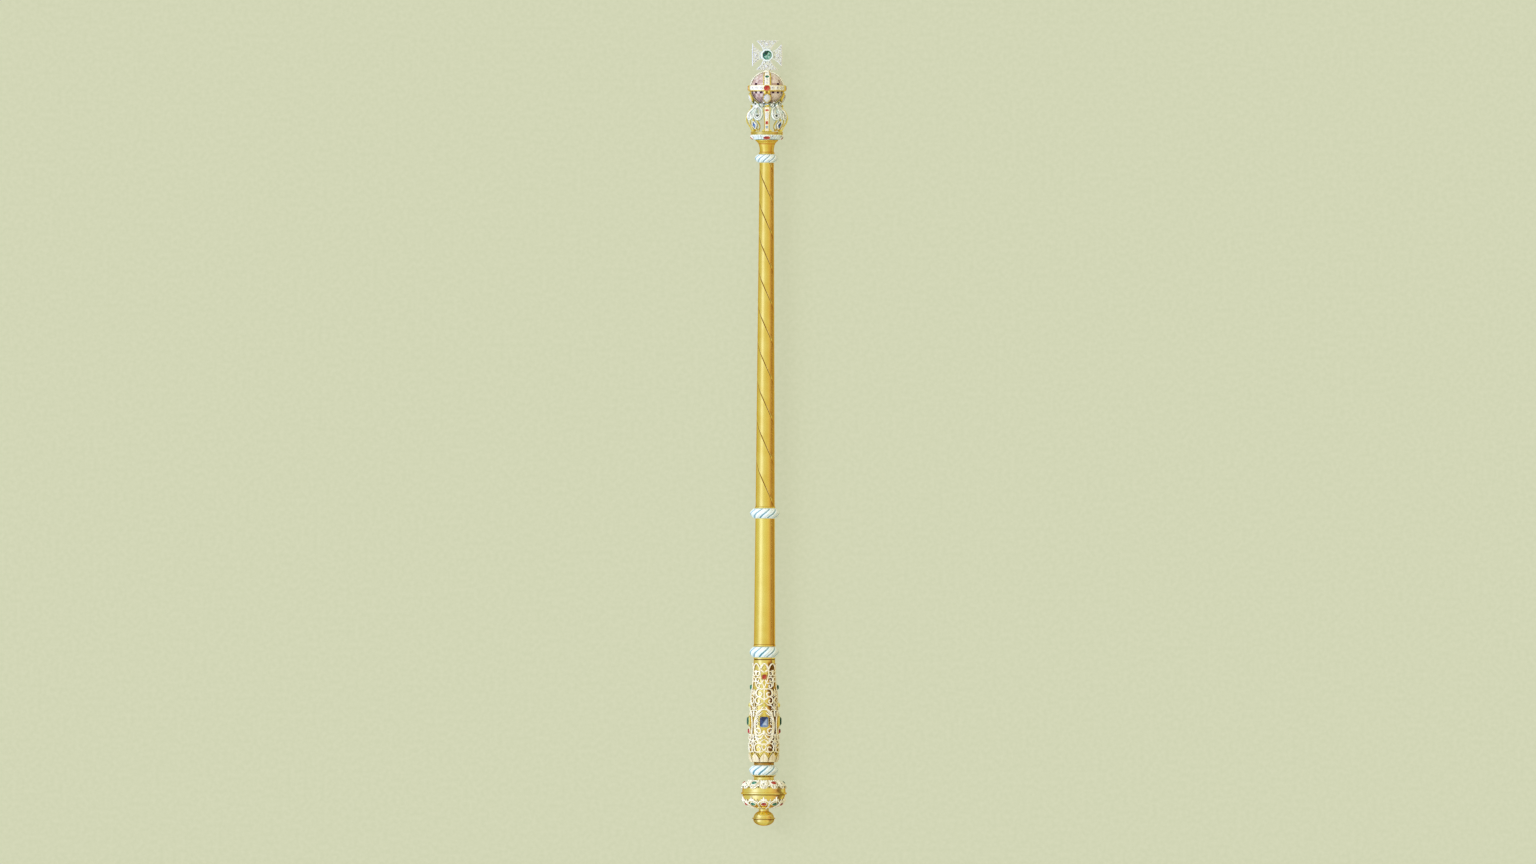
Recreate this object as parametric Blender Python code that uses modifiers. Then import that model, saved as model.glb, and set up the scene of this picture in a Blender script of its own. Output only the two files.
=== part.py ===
"""A jewelled gold sceptre, lying on its back, built in metres.

The sceptre is modelled along its own axis: height is measured up that axis from the end of the foot ball,
its front is -Y and its right is +X. An empty then lays it down along world +Y, front upwards, so that it
rests on its pommel and on the rear rib of its head.
"""

import math

import bmesh
import bpy
from mathutils import Matrix, Vector

# Driving dimensions, in metres.
GAP = 0.0003  # clearance between pieces that touch
LENGTH = 0.8446
POMMEL_RADIUS = 0.0247  # over the belt, the widest place
RIB_RADIUS = 0.0226  # over the ribs of the head
ORB_RADIUS = 0.0176
CROSS_REACH = 0.0162  # from the middle of the cross to the tip of an arm

# Heights along the axis at which one piece ends and the next begins.
BALL_TOP = 0.0184
POMMEL_BELT = 0.0349
NECK_TOP = 0.0546
GRIP_FOOT = 0.0650
GRIP_TOP = 0.1811
ROD_FOOT = 0.1924
ROD_JOINT = 0.3306
ROD_JOINT_TOP = 0.3412
ROD_TOP = 0.7130
CAPITAL_FOOT = 0.7217
RING_FOOT = 0.7378
PLATE_FOOT = 0.7430
CAGE_FOOT = 0.7464
CAGE_TOP = 0.7722
WREATH_TOP = 0.7765
ORB_CENTRE = 0.7928
CROSS_CENTRE = LENGTH - CROSS_REACH

# Lying down, the sceptre rests on a flat spot of the pommel's belt and on the rear rib of the head.
POMMEL_SIDES = 18  # one side is the flat spot, 8.6 mm wide, that keeps the pommel from rolling
POMMEL_FLAT = POMMEL_RADIUS * (1 - math.cos(math.pi / POMMEL_SIDES)) + 0.00003
RIB_FLAT = 0.0001
RIB_MIDDLE = (CAGE_FOOT + CAGE_TOP) / 2
DROP = (POMMEL_RADIUS - POMMEL_FLAT) - (RIB_RADIUS - RIB_FLAT)
LEAN = math.asin(DROP / (RIB_MIDDLE - POMMEL_BELT))

QUARTERS = {"front": 0, "right": math.pi / 2, "back": math.pi, "left": -math.pi / 2}
ROUND = 20  # sides of a large turned piece
SLIM = 16  # sides of a slim one
WIRE = 0.0006  # radius of the scroll wires
COLLAR_LEAVES = 10
GRIP_PETALS = 10
BELT_BOSSES = 16
GRIP_SURFACE = (  # height and radius of the grip's core
    (0.0684, 0.0106),
    (0.0696, 0.0136),
    (0.0760, 0.0148),
    (0.0900, 0.0155),
    (0.1120, 0.0156),
    (0.1330, 0.0137),
    (0.1600, 0.0119),
    (0.1720, 0.0114),
    (0.1808, 0.0116),
)
GRIP_STONES = {  # name, height, width, length, number of sides and how far its face stands out
    "main": (
        ("grip_ruby", 0.1602, 0.0054, 0.0054, 8, 0.0146),
        ("grip_sapphire", 0.1129, 0.0096, 0.0100, 4, 0.0186),
    ),
    "side": (
        ("grip_emerald", 0.1490, 0.0046, 0.0058, 4, 0.0156),
        ("grip_large_emerald", 0.1126, 0.0080, 0.0096, 4, 0.0186),
        ("grip_low_ruby", 0.1020, 0.0056, 0.0056, 8, 0.0177),
    ),
}
STONE_DEPTH = 0.0018


# Materials


def material(name, colour, roughness, metallic=0.0):
    made = bpy.data.materials.new(name)
    made.use_nodes = True
    shader = made.node_tree.nodes["Principled BSDF"]
    shader.inputs["Base Color"].default_value = (*colour, 1)
    shader.inputs["Roughness"].default_value = roughness
    shader.inputs["Metallic"].default_value = metallic
    made.diffuse_color = (*colour, 1)
    return made


# Scene, collections and the axis that everything hangs from


def clear_scene():
    for obj in list(bpy.data.objects):
        bpy.data.objects.remove(obj)


def new_collection(name):
    made = bpy.data.collections.new(name)
    bpy.context.scene.collection.children.link(made)
    return made


def lay_down():
    """The empty that carries the sceptre: height runs along world +Y and the front faces up."""
    axis = bpy.data.objects.new("sceptre_axis", None)
    parts.objects.link(axis)
    axis.rotation_euler.x = -(math.pi / 2 + LEAN)
    rise = POMMEL_RADIUS - POMMEL_FLAT + POMMEL_BELT * math.sin(LEAN)
    axis.location = (0, -LENGTH / 2 * math.cos(LEAN), rise)
    return axis


def piece(name, mesh, finish, place=None):
    """One named sub-part of the sceptre, in the sceptre's own frame."""
    obj = bpy.data.objects.new(name, mesh)
    parts.objects.link(obj)
    obj.parent = axis
    if place is not None:
        obj.matrix_local = place
    obj.data.materials.append(finish)
    return obj


def helper(name, mesh):
    """A cutter or a shape that a Boolean joins on; it isn't part of the sceptre."""
    obj = bpy.data.objects.new(name, mesh)
    cutters.objects.link(obj)
    obj.hide_render = True
    obj.display_type = "WIRE"
    return obj


def boolean(obj, other, operation):
    modifier = obj.modifiers.new(operation.title(), "BOOLEAN")
    modifier.operation = operation
    modifier.object = other
    modifier.use_self = operation == "UNION"


def fuse(obj, meshes):
    """Joins the closed meshes, given in the sceptre's frame, onto the piece."""
    joined = bmesh.new()
    for mesh in meshes:
        joined.from_mesh(mesh)
        bpy.data.meshes.remove(mesh)
    mesh = bpy.data.meshes.new(obj.name + "_additions")
    joined.to_mesh(mesh)
    joined.free()
    added = helper(obj.name + "_additions", mesh)
    added.parent = axis
    boolean(obj, added, "UNION")


# Places on the sceptre


def around(angle, height, radius):
    return Vector((radius * math.sin(angle), -radius * math.cos(angle), height))


def facing(angle, height, radius, slope=0.0):
    """A frame at that point: X runs round the sceptre, Y up and Z outwards, tipped up by slope."""
    across = Vector((math.cos(angle), math.sin(angle), 0))
    outward = around(angle, 0, math.cos(slope)) + Vector((0, 0, math.sin(slope)))
    up = outward.cross(across)
    turn = Matrix((across, up, outward)).transposed().to_4x4()
    return Matrix.Translation(around(angle, height, radius)) @ turn


def grip_radius(height):
    """The radius of the grip's core, with straight runs between its points."""
    for (low, start), (high, end) in zip(GRIP_SURFACE, GRIP_SURFACE[1:]):
        if height <= high:
            return start + (end - start) * (height - low) / (high - low)
    return GRIP_SURFACE[-1][1]


def on_grip(path, middle=0.0):
    """Places just over the grip's core; across is measured round the surface from the middle."""
    places = []
    for across, height in path:
        radius = grip_radius(height)
        places.append((middle + across / radius, height, radius + 2 * GAP + WIRE))
    return places


def cage_radius(height):
    """The bulging surface that the ribs and brackets of the head follow."""
    share = (height - CAGE_FOOT) / (CAGE_TOP - CAGE_FOOT)
    bulge = min(1, math.sin(math.pi * share) / math.sin(0.4 * math.pi))
    return 0.0158 + (RIB_RADIUS - 0.0158) * bulge


def on_cage(path, middle, depth):
    """Places on the bulging surface, sunk by depth."""
    places = []
    for across, height in path:
        radius = cage_radius(height)
        places.append((middle + across / radius, height, radius - depth))
    return places


def pommel_point(latitude, lift=0.0):
    """Radius and height on the pommel's rounded body, in degrees above or below its belt."""
    squareness = 2 / 2.6
    angle = math.radians(abs(latitude))
    upper, lower = (0.0233, 0.0364, 0.0120), (0.0228, 0.0334, -0.0138)
    radius, middle, half = upper if latitude > 0 else lower
    rise = half + math.copysign(lift, half)
    across = (radius + lift) * math.cos(angle) ** squareness
    return across, middle + rise * math.sin(angle) ** squareness


# Shapes


def dome(middle, half_height, radius, start, end, count):
    """Points of a rounded profile between two angles, in degrees above its middle."""
    points = []
    for i in range(count):
        angle = math.radians(start + (end - start) * i / (count - 1))
        points.append((radius * math.cos(angle), middle + half_height * math.sin(angle)))
    return points


def turned_mesh(name, profile, steps, ring=False):
    """A profile of (radius, height) points, from the top down its outer side, turned round the axis."""
    mesh = bpy.data.meshes.new(name)
    points = [(radius, 0, height) for radius, height in profile]
    edges = [(i, i + 1) for i in range(len(points) - 1)]
    if ring:
        edges.append((len(points) - 1, 0))
    mesh.from_pydata(points, edges, [])
    outline = helper(name + "_profile", mesh)
    screw = outline.modifiers.new("Turn", "SCREW")
    screw.steps = steps
    screw.render_steps = steps
    screw.use_merge_vertices = True
    screw.merge_threshold = 0.00001
    bpy.context.view_layer.update()
    graph = bpy.context.evaluated_depsgraph_get()
    made = bpy.data.meshes.new_from_object(outline.evaluated_get(graph))
    bpy.data.objects.remove(outline)
    made.name = name
    made.shade_smooth()
    made.set_sharp_from_angle(angle=math.radians(30))
    return made


def turned(name, profile, finish, steps=ROUND, ring=False):
    return piece(name, turned_mesh(name, profile, steps, ring), finish)


def solid_profile(points):
    """Closes a profile onto the axis at both ends."""
    return [(0, points[0][1]), *points, (0, points[-1][1])]


def move_round(mesh, rule):
    """Moves every vertex: rule takes its angle, height and radius and gives the new three."""
    for vertex in mesh.vertices:
        x, y, height = vertex.co
        radius = math.hypot(x, y)
        if radius > GAP:
            vertex.co = around(*rule(math.atan2(x, -y), height, radius))


def block(width, height, depth, sides=4, taper=0.7, place=Matrix.Identity(4)):
    """A cut stone or its box: a tapered prism standing on its base, oblong with four sides."""
    made = bmesh.new()
    bmesh.ops.create_cone(
        made, cap_ends=True, segments=sides, radius1=0.5, radius2=0.5 * taper, depth=depth
    )
    turn = Matrix.Rotation(math.pi / sides, 4, "Z")
    stretch = 1 / math.cos(math.pi / sides)
    size = Matrix.Diagonal((width * stretch, height * stretch, 1, 1))
    rise = Matrix.Translation((0, 0, depth / 2))
    bmesh.ops.transform(made, matrix=place @ rise @ size @ turn, verts=made.verts)
    mesh = bpy.data.meshes.new("block")
    made.to_mesh(mesh)
    made.free()
    return mesh


def mesh_of(curve):
    """The curve as a closed mesh, its caps welded on."""
    made = bpy.data.objects.new("curve", curve)
    parts.objects.link(made)
    bpy.context.view_layer.update()
    graph = bpy.context.evaluated_depsgraph_get()
    mesh = bpy.data.meshes.new_from_object(made.evaluated_get(graph))
    bpy.data.objects.remove(made)
    bpy.data.curves.remove(curve)
    welded = bmesh.new()
    welded.from_mesh(mesh)
    bmesh.ops.remove_doubles(welded, verts=welded.verts, dist=0.00001)
    welded.to_mesh(mesh)
    welded.free()
    return mesh


def polyline(name, points, closed):
    curve = bpy.data.curves.new(name, "CURVE")
    curve.dimensions = "3D"
    spline = curve.splines.new("POLY")
    spline.points.add(len(points) - 1)
    for point, place in zip(spline.points, points):
        point.co = (*place, 1)
    spline.use_cyclic_u = closed
    return curve


def wire(places, radius=WIRE, closed=False):
    """A wire through places given as angle, height and radius, three-sided so that it stays light."""
    third = math.tau / 3
    corners = [radius * 1.2 * Vector((math.cos(a), math.sin(a), 0)) for a in (0, -third, third)]
    section = helper("section", polyline("section", corners, True))
    curve = polyline("wire", [around(*place) for place in places], closed)
    curve.bevel_mode = "OBJECT"
    curve.bevel_object = section
    curve.use_fill_caps = not closed
    mesh = mesh_of(curve)
    bpy.data.objects.remove(section)
    return mesh


def bend(controls, count):
    """Points of a smooth curve through the control points, given as (across, height)."""
    ends = [controls[0], *controls, controls[-1]]
    runs = len(controls) - 1
    points = []
    for i in range(count):
        place = runs * i / (count - 1)
        run = min(int(place), runs - 1)
        t = place - run
        p0, p1, p2, p3 = (Vector(p) for p in ends[run : run + 4])
        points.append(
            0.5 * (2 * p1 + (p2 - p0) * t + (2 * p0 - 5 * p1 + 4 * p2 - p3) * t**2
                   + (3 * p1 - p0 - 3 * p2 + p3) * t**3)
        )  # fmt: skip
    return points


def volute(stem, eye, size, turns, count):
    """A stem of (across, height) points that runs into a spiral round its eye."""
    eye = Vector(eye)
    out = Vector(stem[-1]) - eye
    start = math.atan2(out.y, out.x)
    spiral = []
    for i in range(1, count):
        t = i / (count - 1)
        reach = out.length + (size - out.length) * t
        angle = start + math.tau * turns * t
        spiral.append(eye + reach * Vector((math.cos(angle), math.sin(angle))))
    return bend(stem, len(stem)) + spiral


def both_sides(path):
    """A path that starts in the middle, led on from its mirror image."""
    return [(-x, height) for x, height in reversed(path[1:])] + list(path)


# Foot: the small ball and the pommel with its two enamelled mounts


def make_foot():
    upper = dome(0.0088, 0.0078, 0.0110, 58, 10, 3)
    lower = dome(0.0070, 0.0070, 0.0111, -6, -62, 3)
    belt = [(0.0124, 0.0086), (0.0124, 0.0071)]
    profile = [(0.0055, BALL_TOP - GAP), (0.0056, 0.0170), *upper, *belt, *lower, (0.0020, 0)]
    turned("finial_ball", solid_profile(profile), gold, SLIM)

    neck = [(0.0129, NECK_TOP - GAP), (0.0104, 0.0518), (0.0114, 0.0492)]
    belt = [(0.0233, 0.0364), (POMMEL_RADIUS, 0.0361), (POMMEL_RADIUS, 0.0338), (0.0230, 0.0335)]
    upper = [pommel_point(latitude) for latitude in (64, 40, 14)]
    lower = [pommel_point(latitude) for latitude in (-8, -32, -50, -66)]
    foot = [(0.0066, 0.0192), (0.0060, BALL_TOP)]
    profile = solid_profile([*neck, *upper, *belt, *lower, *foot])
    pommel = turned("pommel", profile, gold, POMMEL_SIDES)
    boolean(pommel, floor_cutter, "DIFFERENCE")


def mount(name, latitudes, end, leaves, cut, stone_angles, stone):
    """An enamelled wreath over the pommel: a thin shell whose edge is cut into leaves, with its stones."""
    thickness, tip = 0.0014, 0.0006
    lift = 2 * GAP
    outer_end, inner_end, end_height = end
    outer = [(outer_end, end_height)]
    outer += [pommel_point(latitude, lift + thickness) for latitude in latitudes[:-1]]
    outer.append(pommel_point(latitudes[-1], lift + tip))
    inner = [(inner_end, end_height), *(pommel_point(latitude, lift) for latitude in latitudes)]
    if outer[-1][1] > outer[0][1]:
        outer, inner = inner, outer
    mesh = turned_mesh(name, outer + inner[::-1], 2 * leaves, ring=True)
    edge = pommel_point(latitudes[-1], lift)[1]
    last = pommel_point(latitudes[-2], lift)

    def cut_leaves(angle, height, radius):
        reach = max(0, (height - last[1]) / (edge - last[1])) * cut
        reach *= 1 - abs(math.cos(angle * leaves / 2))
        return angle, height + (last[1] - height) * reach, radius + (last[0] - radius) * reach

    move_round(mesh, cut_leaves)
    made = piece(name, mesh, enamel)
    latitude, tilt, width, length, depth = stone
    radius, height = pommel_point(latitude, lift + thickness / 2)
    stones = []
    for angle in stone_angles:
        place = facing(math.radians(angle), height, radius, math.radians(tilt))
        stones.append(block(width, length, depth, place=place))
    fuse(made, stones)


def make_pommel_mounts():
    upper_stone = (44, 50, 0.0054, 0.0046, 0.0012)
    leaves = range(30, 360, 60)
    top = (0.0170, 0.0126, 0.0490)
    mount("pommel_upper_mount", (42, 14), top, 12, 0.8, leaves, upper_stone)
    lower_stone = (-42, -45, 0.0060, 0.0040, 0.0012)
    stars = range(0, 360, 36)
    bottom = (0.0092, 0.0078, 0.0190)
    mount("pommel_lower_mount", (-50, -30, -9), bottom, 10, 0.9, stars, lower_stone)


# Collars


def collar(name, foot, top, radius, end_radius):
    """A bead of slanting leaves between two sections of the rod."""
    middle = (foot + top) / 2
    half = (top - foot) / 2 - GAP
    pitch = math.tau / COLLAR_LEAVES
    profile = []
    for share in (1, 0.5, 0, -0.5, -1):
        swell = (radius - end_radius) * (1 - abs(share) ** 1.6)
        profile.append((end_radius + swell, middle + share * half))
    mesh = turned_mesh(name, solid_profile(profile), 2 * COLLAR_LEAVES)

    def slant(angle, height, reach):
        share = (height - middle) / half
        groove = 0.0014 * (1 - 0.6 * abs(share)) * (1 - abs(math.cos(angle * COLLAR_LEAVES / 2)))
        return angle + share * pitch / 2, height, reach - groove

    move_round(mesh, slant)
    mesh.set_sharp_from_angle(angle=math.radians(20))
    piece(name, mesh, enamel)


def make_collars():
    collar("pommel_collar", NECK_TOP, GRIP_FOOT, 0.0160, 0.0132)
    collar("grip_collar", GRIP_TOP, ROD_FOOT, 0.0161, 0.0126)
    collar("rod_collar", ROD_JOINT, ROD_JOINT_TOP, 0.0161, 0.0122)
    collar("head_collar", ROD_TOP, CAPITAL_FOOT, 0.0121, 0.0094)


# Grip


def grip_stones():
    """Each stone of the grip with its quarter's name and angle."""
    for quarter, angle in QUARTERS.items():
        for stone in GRIP_STONES["main" if quarter in ("front", "back") else "side"]:
            yield quarter, angle, stone


def make_grip_core():
    surface = [(radius, height) for height, radius in reversed(GRIP_SURFACE)]
    profile = [*surface, (0.0106, GRIP_FOOT + GAP)]
    core = turned("grip_core", solid_profile(profile), gold, SLIM)
    sunk = 0.0034
    rim = 0.0014
    boxes = []
    for _, angle, (_, height, width, length, sides, face) in grip_stones():
        base = facing(angle, height, face - STONE_DEPTH - GAP - sunk)
        boxes.append(block(width + rim, length + rim, sunk, sides, 1.0, base))
    fuse(core, boxes)


def make_grip_stones():
    finishes = {
        "grip_ruby": ruby,
        "grip_sapphire": sapphire,
        "grip_emerald": emerald,
        "grip_large_emerald": emerald,
        "grip_low_ruby": ruby,
    }
    for quarter, angle, (name, height, width, length, sides, face) in grip_stones():
        mesh = block(width, length, STONE_DEPTH, sides)
        piece(f"{name}_{quarter}", mesh, finishes[name], facing(angle, height, face - STONE_DEPTH))


def panel_scrolls(front):
    """The scrolls of one quarter of the grip, as (across, height) paths; the front has the most."""
    point = 0.1490 if front else 0.1425
    waist = [(0.0026, 0.1530), (0.0042, 0.1600)] if front else [(0.0044, 0.1465), (0.0048, 0.1540)]
    calyx = bend([(0.0, point), *waist, (0.0047, 0.1684)], 5)
    high = volute([(0.0, 0.1455), (0.0044, 0.1500)], (0.0066, 0.1530), 0.0010, 0.75, 5)
    low = volute([(0.0, 0.1290), (0.0034, 0.1322)], (0.0062, 0.1356), 0.0012, 0.75, 5)
    inner = volute([(0.0, 0.0925), (0.0034, 0.0965)], (0.0066, 0.1010), 0.0016, 0.75, 5)
    pairs = (calyx, low, inner, high) if front else (calyx, low)
    stem = [(0.0, point + 0.0010), (0.0, 0.1246)]
    return [both_sides(path) for path in pairs] + [stem]


def make_grip_scrollwork():
    """The pierced enamelled sleeve: arches, scrolls, frames and a foot of petals, over the gold core."""
    foot, shoulder, point = 0.0697, 0.0722, 0.0790
    notch = 0.0738
    wall = 0.0014
    inner = [(grip_radius(height) + 2 * GAP, height) for height in (point, shoulder, foot)]
    outer = [(radius + wall, height) for radius, height in inner]
    mesh = turned_mesh("grip_scrollwork", outer + inner[::-1], 2 * GRIP_PETALS, ring=True)

    def petals(angle, height, radius):
        low = 1 - abs(math.cos(angle * GRIP_PETALS / 2)) if height > shoulder + GAP else 0
        return angle, height + (notch - point) * low, radius

    move_round(mesh, petals)
    sleeve = piece("grip_scrollwork", mesh, enamel)

    arches = 8
    steps = 4 * arches
    top = []
    for i in range(steps):
        angle = math.tau * i / steps
        height = 0.1680 + 0.0064 * abs(math.cos(arches * angle / 2)) ** 0.6
        top.append((angle, height, grip_radius(height) + 2 * GAP + WIRE))
    added = [wire(top, closed=True)]

    side = [(0.0, 0.1252), (0.0072, 0.1228), (0.0112, 0.1150),
            (0.0112, 0.1010), (0.0072, 0.0900), (0.0, 0.0862)]  # fmt: skip
    side = bend(side, 7)
    frame = side + [(-across, height) for across, height in reversed(side[1:-1])]
    for quarter, angle in QUARTERS.items():
        for path in panel_scrolls(quarter == "front"):
            added.append(wire(on_grip(path, angle)))
        added.append(wire(on_grip(frame, angle), closed=True))
        added.append(wire(on_grip([(0.0, 0.0935), (0.0, shoulder + 0.0004)], angle)))
        bud = 0.1295
        added.append(block(0.0030, 0.0044, 0.0018, place=facing(angle, bud, grip_radius(bud) + 2 * GAP)))
    fuse(sleeve, added)


# Rod and capital


def make_rod():
    lower = [(0.0104, ROD_JOINT - GAP), (0.0114, 0.1950), (0.0119, 0.1948), (0.0119, ROD_FOOT + GAP)]
    turned("rod_lower", solid_profile(lower), gold, SLIM)
    upper = [(0.0077, ROD_TOP - GAP), (0.0103, 0.3432), (0.0110, 0.3430), (0.0110, ROD_JOINT_TOP + GAP)]
    turned("rod_upper", solid_profile(upper), gold, SLIM)
    reach, waist = 0.0122, 0.0076
    flare = [(waist + 0.0046 - radius, height)
             for radius, height in dome(RING_FOOT - 0.0064, 0.0052, 0.0046, 90, 0, 4)]  # fmt: skip
    foot = [(waist, 0.7242), (0.0084, 0.7240), (0.0084, CAPITAL_FOOT + GAP)]
    turned("capital", solid_profile([(reach, RING_FOOT - GAP), *flare, *foot]), gold, SLIM)


def make_jewelled_ring():
    """The enamelled ring with its four oval rubies, and the moulded plate on it that carries the cage."""
    ring = [(0.0168, PLATE_FOOT - GAP), (0.0172, 0.7422), (0.0138, 0.7382), (0.0132, RING_FOOT)]
    base = turned("jewelled_ring", solid_profile(ring), enamel)
    depth = 0.0012
    boxes = []
    for quarter, angle in QUARTERS.items():
        place = facing(angle, 0.7403, 0.0150, math.radians(-40))
        boxes.append(block(0.0086, 0.0048, depth, 6, 0.9, place))
        stone = block(0.0074, 0.0040, 0.0009, 8, 0.7)
        piece(f"ring_ruby_{quarter}", stone, ruby, place @ Matrix.Translation((0, 0, depth + GAP)))
    fuse(base, boxes)
    top, middle, foot = CAGE_FOOT - GAP, CAGE_FOOT - 0.0018, PLATE_FOOT
    plate = [(0.0162, top), (0.0168, top - 0.0005), (0.0168, middle + 0.0004), (0.0161, middle),
             (0.0166, middle - 0.0005), (0.0166, foot)]  # fmt: skip
    turned("base_plate", solid_profile(plate), gold)


# Head: ribs, brackets, wreath, orb and its frame


def strap_mesh(name, path, widths, thickness, angle):
    """A metal strap along (height, radius) points of one meridian, with its width at each."""
    rows = bmesh.new()
    bmesh.ops.create_grid(rows, x_segments=1, y_segments=len(path) - 1, size=0.5)
    rows.verts.ensure_lookup_table()
    across = Vector((math.cos(angle), math.sin(angle), 0))
    for i, ((height, radius), width) in enumerate(zip(path, widths)):
        middle = around(angle, height, radius)
        rows.verts[2 * i].co = middle - across * width / 2
        rows.verts[2 * i + 1].co = middle + across * width / 2
    mesh = bpy.data.meshes.new(name)
    rows.to_mesh(mesh)
    rows.free()
    sheet = helper(name + "_sheet", mesh)
    solidify = sheet.modifiers.new("Thickness", "SOLIDIFY")
    solidify.thickness = thickness
    solidify.offset = 0
    solidify.use_even_offset = True
    bpy.context.view_layer.update()
    graph = bpy.context.evaluated_depsgraph_get()
    made = bpy.data.meshes.new_from_object(sheet.evaluated_get(graph))
    bpy.data.objects.remove(sheet)
    return made


def make_ribs():
    """Four straps that carry the orb, each with a foot and ending in a curl at the top."""
    thickness = 0.0016
    rows = 6
    widths = (0.0072, 0.0057, 0.0057, 0.0061, 0.0067, 0.0072, 0.0062)
    low, high = CAGE_FOOT + 0.0008, CAGE_TOP - 0.0016
    for quarter, angle in QUARTERS.items():
        path = []
        for i in range(rows):
            height = low + (high - low) * i / (rows - 1)
            path.append((height, cage_radius(height) - thickness / 2))
        path.append((CAGE_TOP + 0.0004, 0.0167))
        rib = piece(f"rib_{quarter}", strap_mesh("rib", path, widths, thickness, angle), gold)
        foot_place = Matrix.Translation(around(angle, CAGE_FOOT, 0.0138)) @ Matrix.Rotation(angle, 4, "Z")
        foot = block(0.0104, 0.0048, 0.0016, place=foot_place)
        curl_place = facing(angle, CAGE_TOP + 0.0010, 0.0178) @ Matrix.Rotation(math.pi / 2, 4, "Y")
        curl = block(0.0032, 0.0032, 0.0060, 6, 1.0, curl_place @ Matrix.Translation((0, 0, -0.0030)))
        fuse(rib, [foot, curl])
        if quarter == "back":
            boolean(rib, floor_cutter, "DIFFERENCE")


def make_brackets():
    """Between the ribs: a lyre, a setting with its lozenge sapphire and a pair of enamelled scrolls."""
    lyre = bend([(0.0, CAGE_FOOT + 0.0008), (0.0050, 0.7512), (0.0062, 0.7556), (0.0030, 0.7622)], 4)
    scroll = volute([(0.0, 0.7704), (0.0026, 0.7694), (0.0054, 0.7664)], (0.0056, 0.7626), 0.0014, -0.8, 5)
    stem = [(0.0, height) for height in (CAGE_FOOT + 0.0006, 0.7540, 0.7640, 0.7708)]
    for quarter, middle in QUARTERS.items():
        angle = middle + math.pi / 4
        spot = facing(angle, 0.7530, cage_radius(0.7530) + 0.0004, math.radians(-20))
        spot = spot @ Matrix.Rotation(math.pi / 4, 4, "Z")
        setting = block(0.0056, 0.0056, 0.0030, 4, 0.85, spot @ Matrix.Translation((0, 0, -0.0030)))
        bracket = piece(f"bracket_{quarter}", setting, enamel)
        stems = wire(on_cage(stem, angle, 0.0020), 0.0010)
        lyres = wire(on_cage(both_sides(lyre), angle, 0.0008), 0.0008)
        scrolls = wire(on_cage(both_sides(scroll), angle, 0.0012), 0.0014)
        fuse(bracket, [stems, lyres, scrolls])
        stone = block(0.0044, 0.0044, 0.0014, 4, 0.6)
        piece(f"bracket_sapphire_{quarter}", stone, sapphire, spot @ Matrix.Translation((0, 0, GAP)))


def make_wreath():
    """The lobed enamel ring that the orb sits in."""
    foot = CAGE_TOP + GAP
    lobes = 12
    profile = [(0.0118, WREATH_TOP), (0.0146, foot + 0.0018), (0.0138, foot), (0.0104, foot)]
    mesh = turned_mesh("wreath", profile, 2 * lobes, ring=True)

    def swell(angle, height, radius):
        return angle, height, radius + (0.0006 * math.cos(lobes * angle) if radius > 0.0130 else 0)

    move_round(mesh, swell)
    piece("wreath", mesh, enamel)


def make_orb():
    """The faceted amethyst."""
    made = bmesh.new()
    bmesh.ops.create_uvsphere(made, u_segments=16, v_segments=8, radius=ORB_RADIUS)
    bmesh.ops.translate(made, vec=(0, 0, ORB_CENTRE), verts=made.verts)
    mesh = bpy.data.meshes.new("amethyst_orb")
    made.to_mesh(mesh)
    made.free()
    piece("amethyst_orb", mesh, amethyst)


def make_orb_frame():
    """The jewelled belt of the orb, its four straps over the top and the four claws under it."""
    inner = ORB_RADIUS + GAP
    half = 0.0033
    outer = inner + 0.0013
    belt = [(outer, ORB_CENTRE + half), (outer, ORB_CENTRE - half),
            (inner, ORB_CENTRE - half), (inner, ORB_CENTRE + half)]  # fmt: skip
    mesh = turned_mesh("orb_frame", belt, 2 * BELT_BOSSES, ring=True)

    def bosses(angle, height, radius):
        between = 1 - abs(math.cos(angle * BELT_BOSSES / 2)) if radius > outer - GAP else 0
        return angle, height, radius - 0.0007 * between

    move_round(mesh, bosses)
    mesh.set_sharp_from_angle(angle=math.radians(20))
    frame = piece("orb_frame", mesh, gold)
    thickness = 0.0010
    reach = inner + thickness / 2

    def strap(angle, latitudes, widths):
        path = []
        for degrees in latitudes:
            tilt = math.radians(degrees)
            path.append((ORB_CENTRE + reach * math.sin(tilt), reach * math.cos(tilt)))
        return strap_mesh("strap", path, widths, thickness, angle)

    crown = LENGTH - 2 * CROSS_REACH - GAP - 0.0010
    added = [block(0.0090, 0.0090, 0.0010, 6, 0.8, Matrix.Translation((0, 0, crown)))]
    ruby_seat = 0.0010
    shield = 0.0022
    for quarter, angle in QUARTERS.items():
        added.append(strap(angle, (8, 27, 46, 65, 82), (0.0070, 0.0070, 0.0068, 0.0060, 0.0036)))
        added.append(strap(angle, (-8, -26, -44, -58), (0.0062, 0.0050, 0.0038, 0.0028)))
        seat = facing(angle, ORB_CENTRE, outer - GAP)
        added.append(block(0.0068, 0.0058, ruby_seat, 4, 0.9, seat))
        stone = block(0.0060, 0.0050, 0.0008, 4, 0.75)
        piece(f"belt_ruby_{quarter}", stone, ruby, seat @ Matrix.Translation((0, 0, ruby_seat + GAP)))
        spot = facing(angle, 0.7824, 0.0156, math.radians(-24))
        added.append(block(0.0066, 0.0084, shield, 6, 1.0, spot))
        drop = spot @ Matrix.Translation((0, 0, shield + GAP))
        piece(f"pear_diamond_{quarter}", pear_mesh(0.0078, 0.0104, 0.0018), diamond, drop)
    fuse(frame, added)


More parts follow.
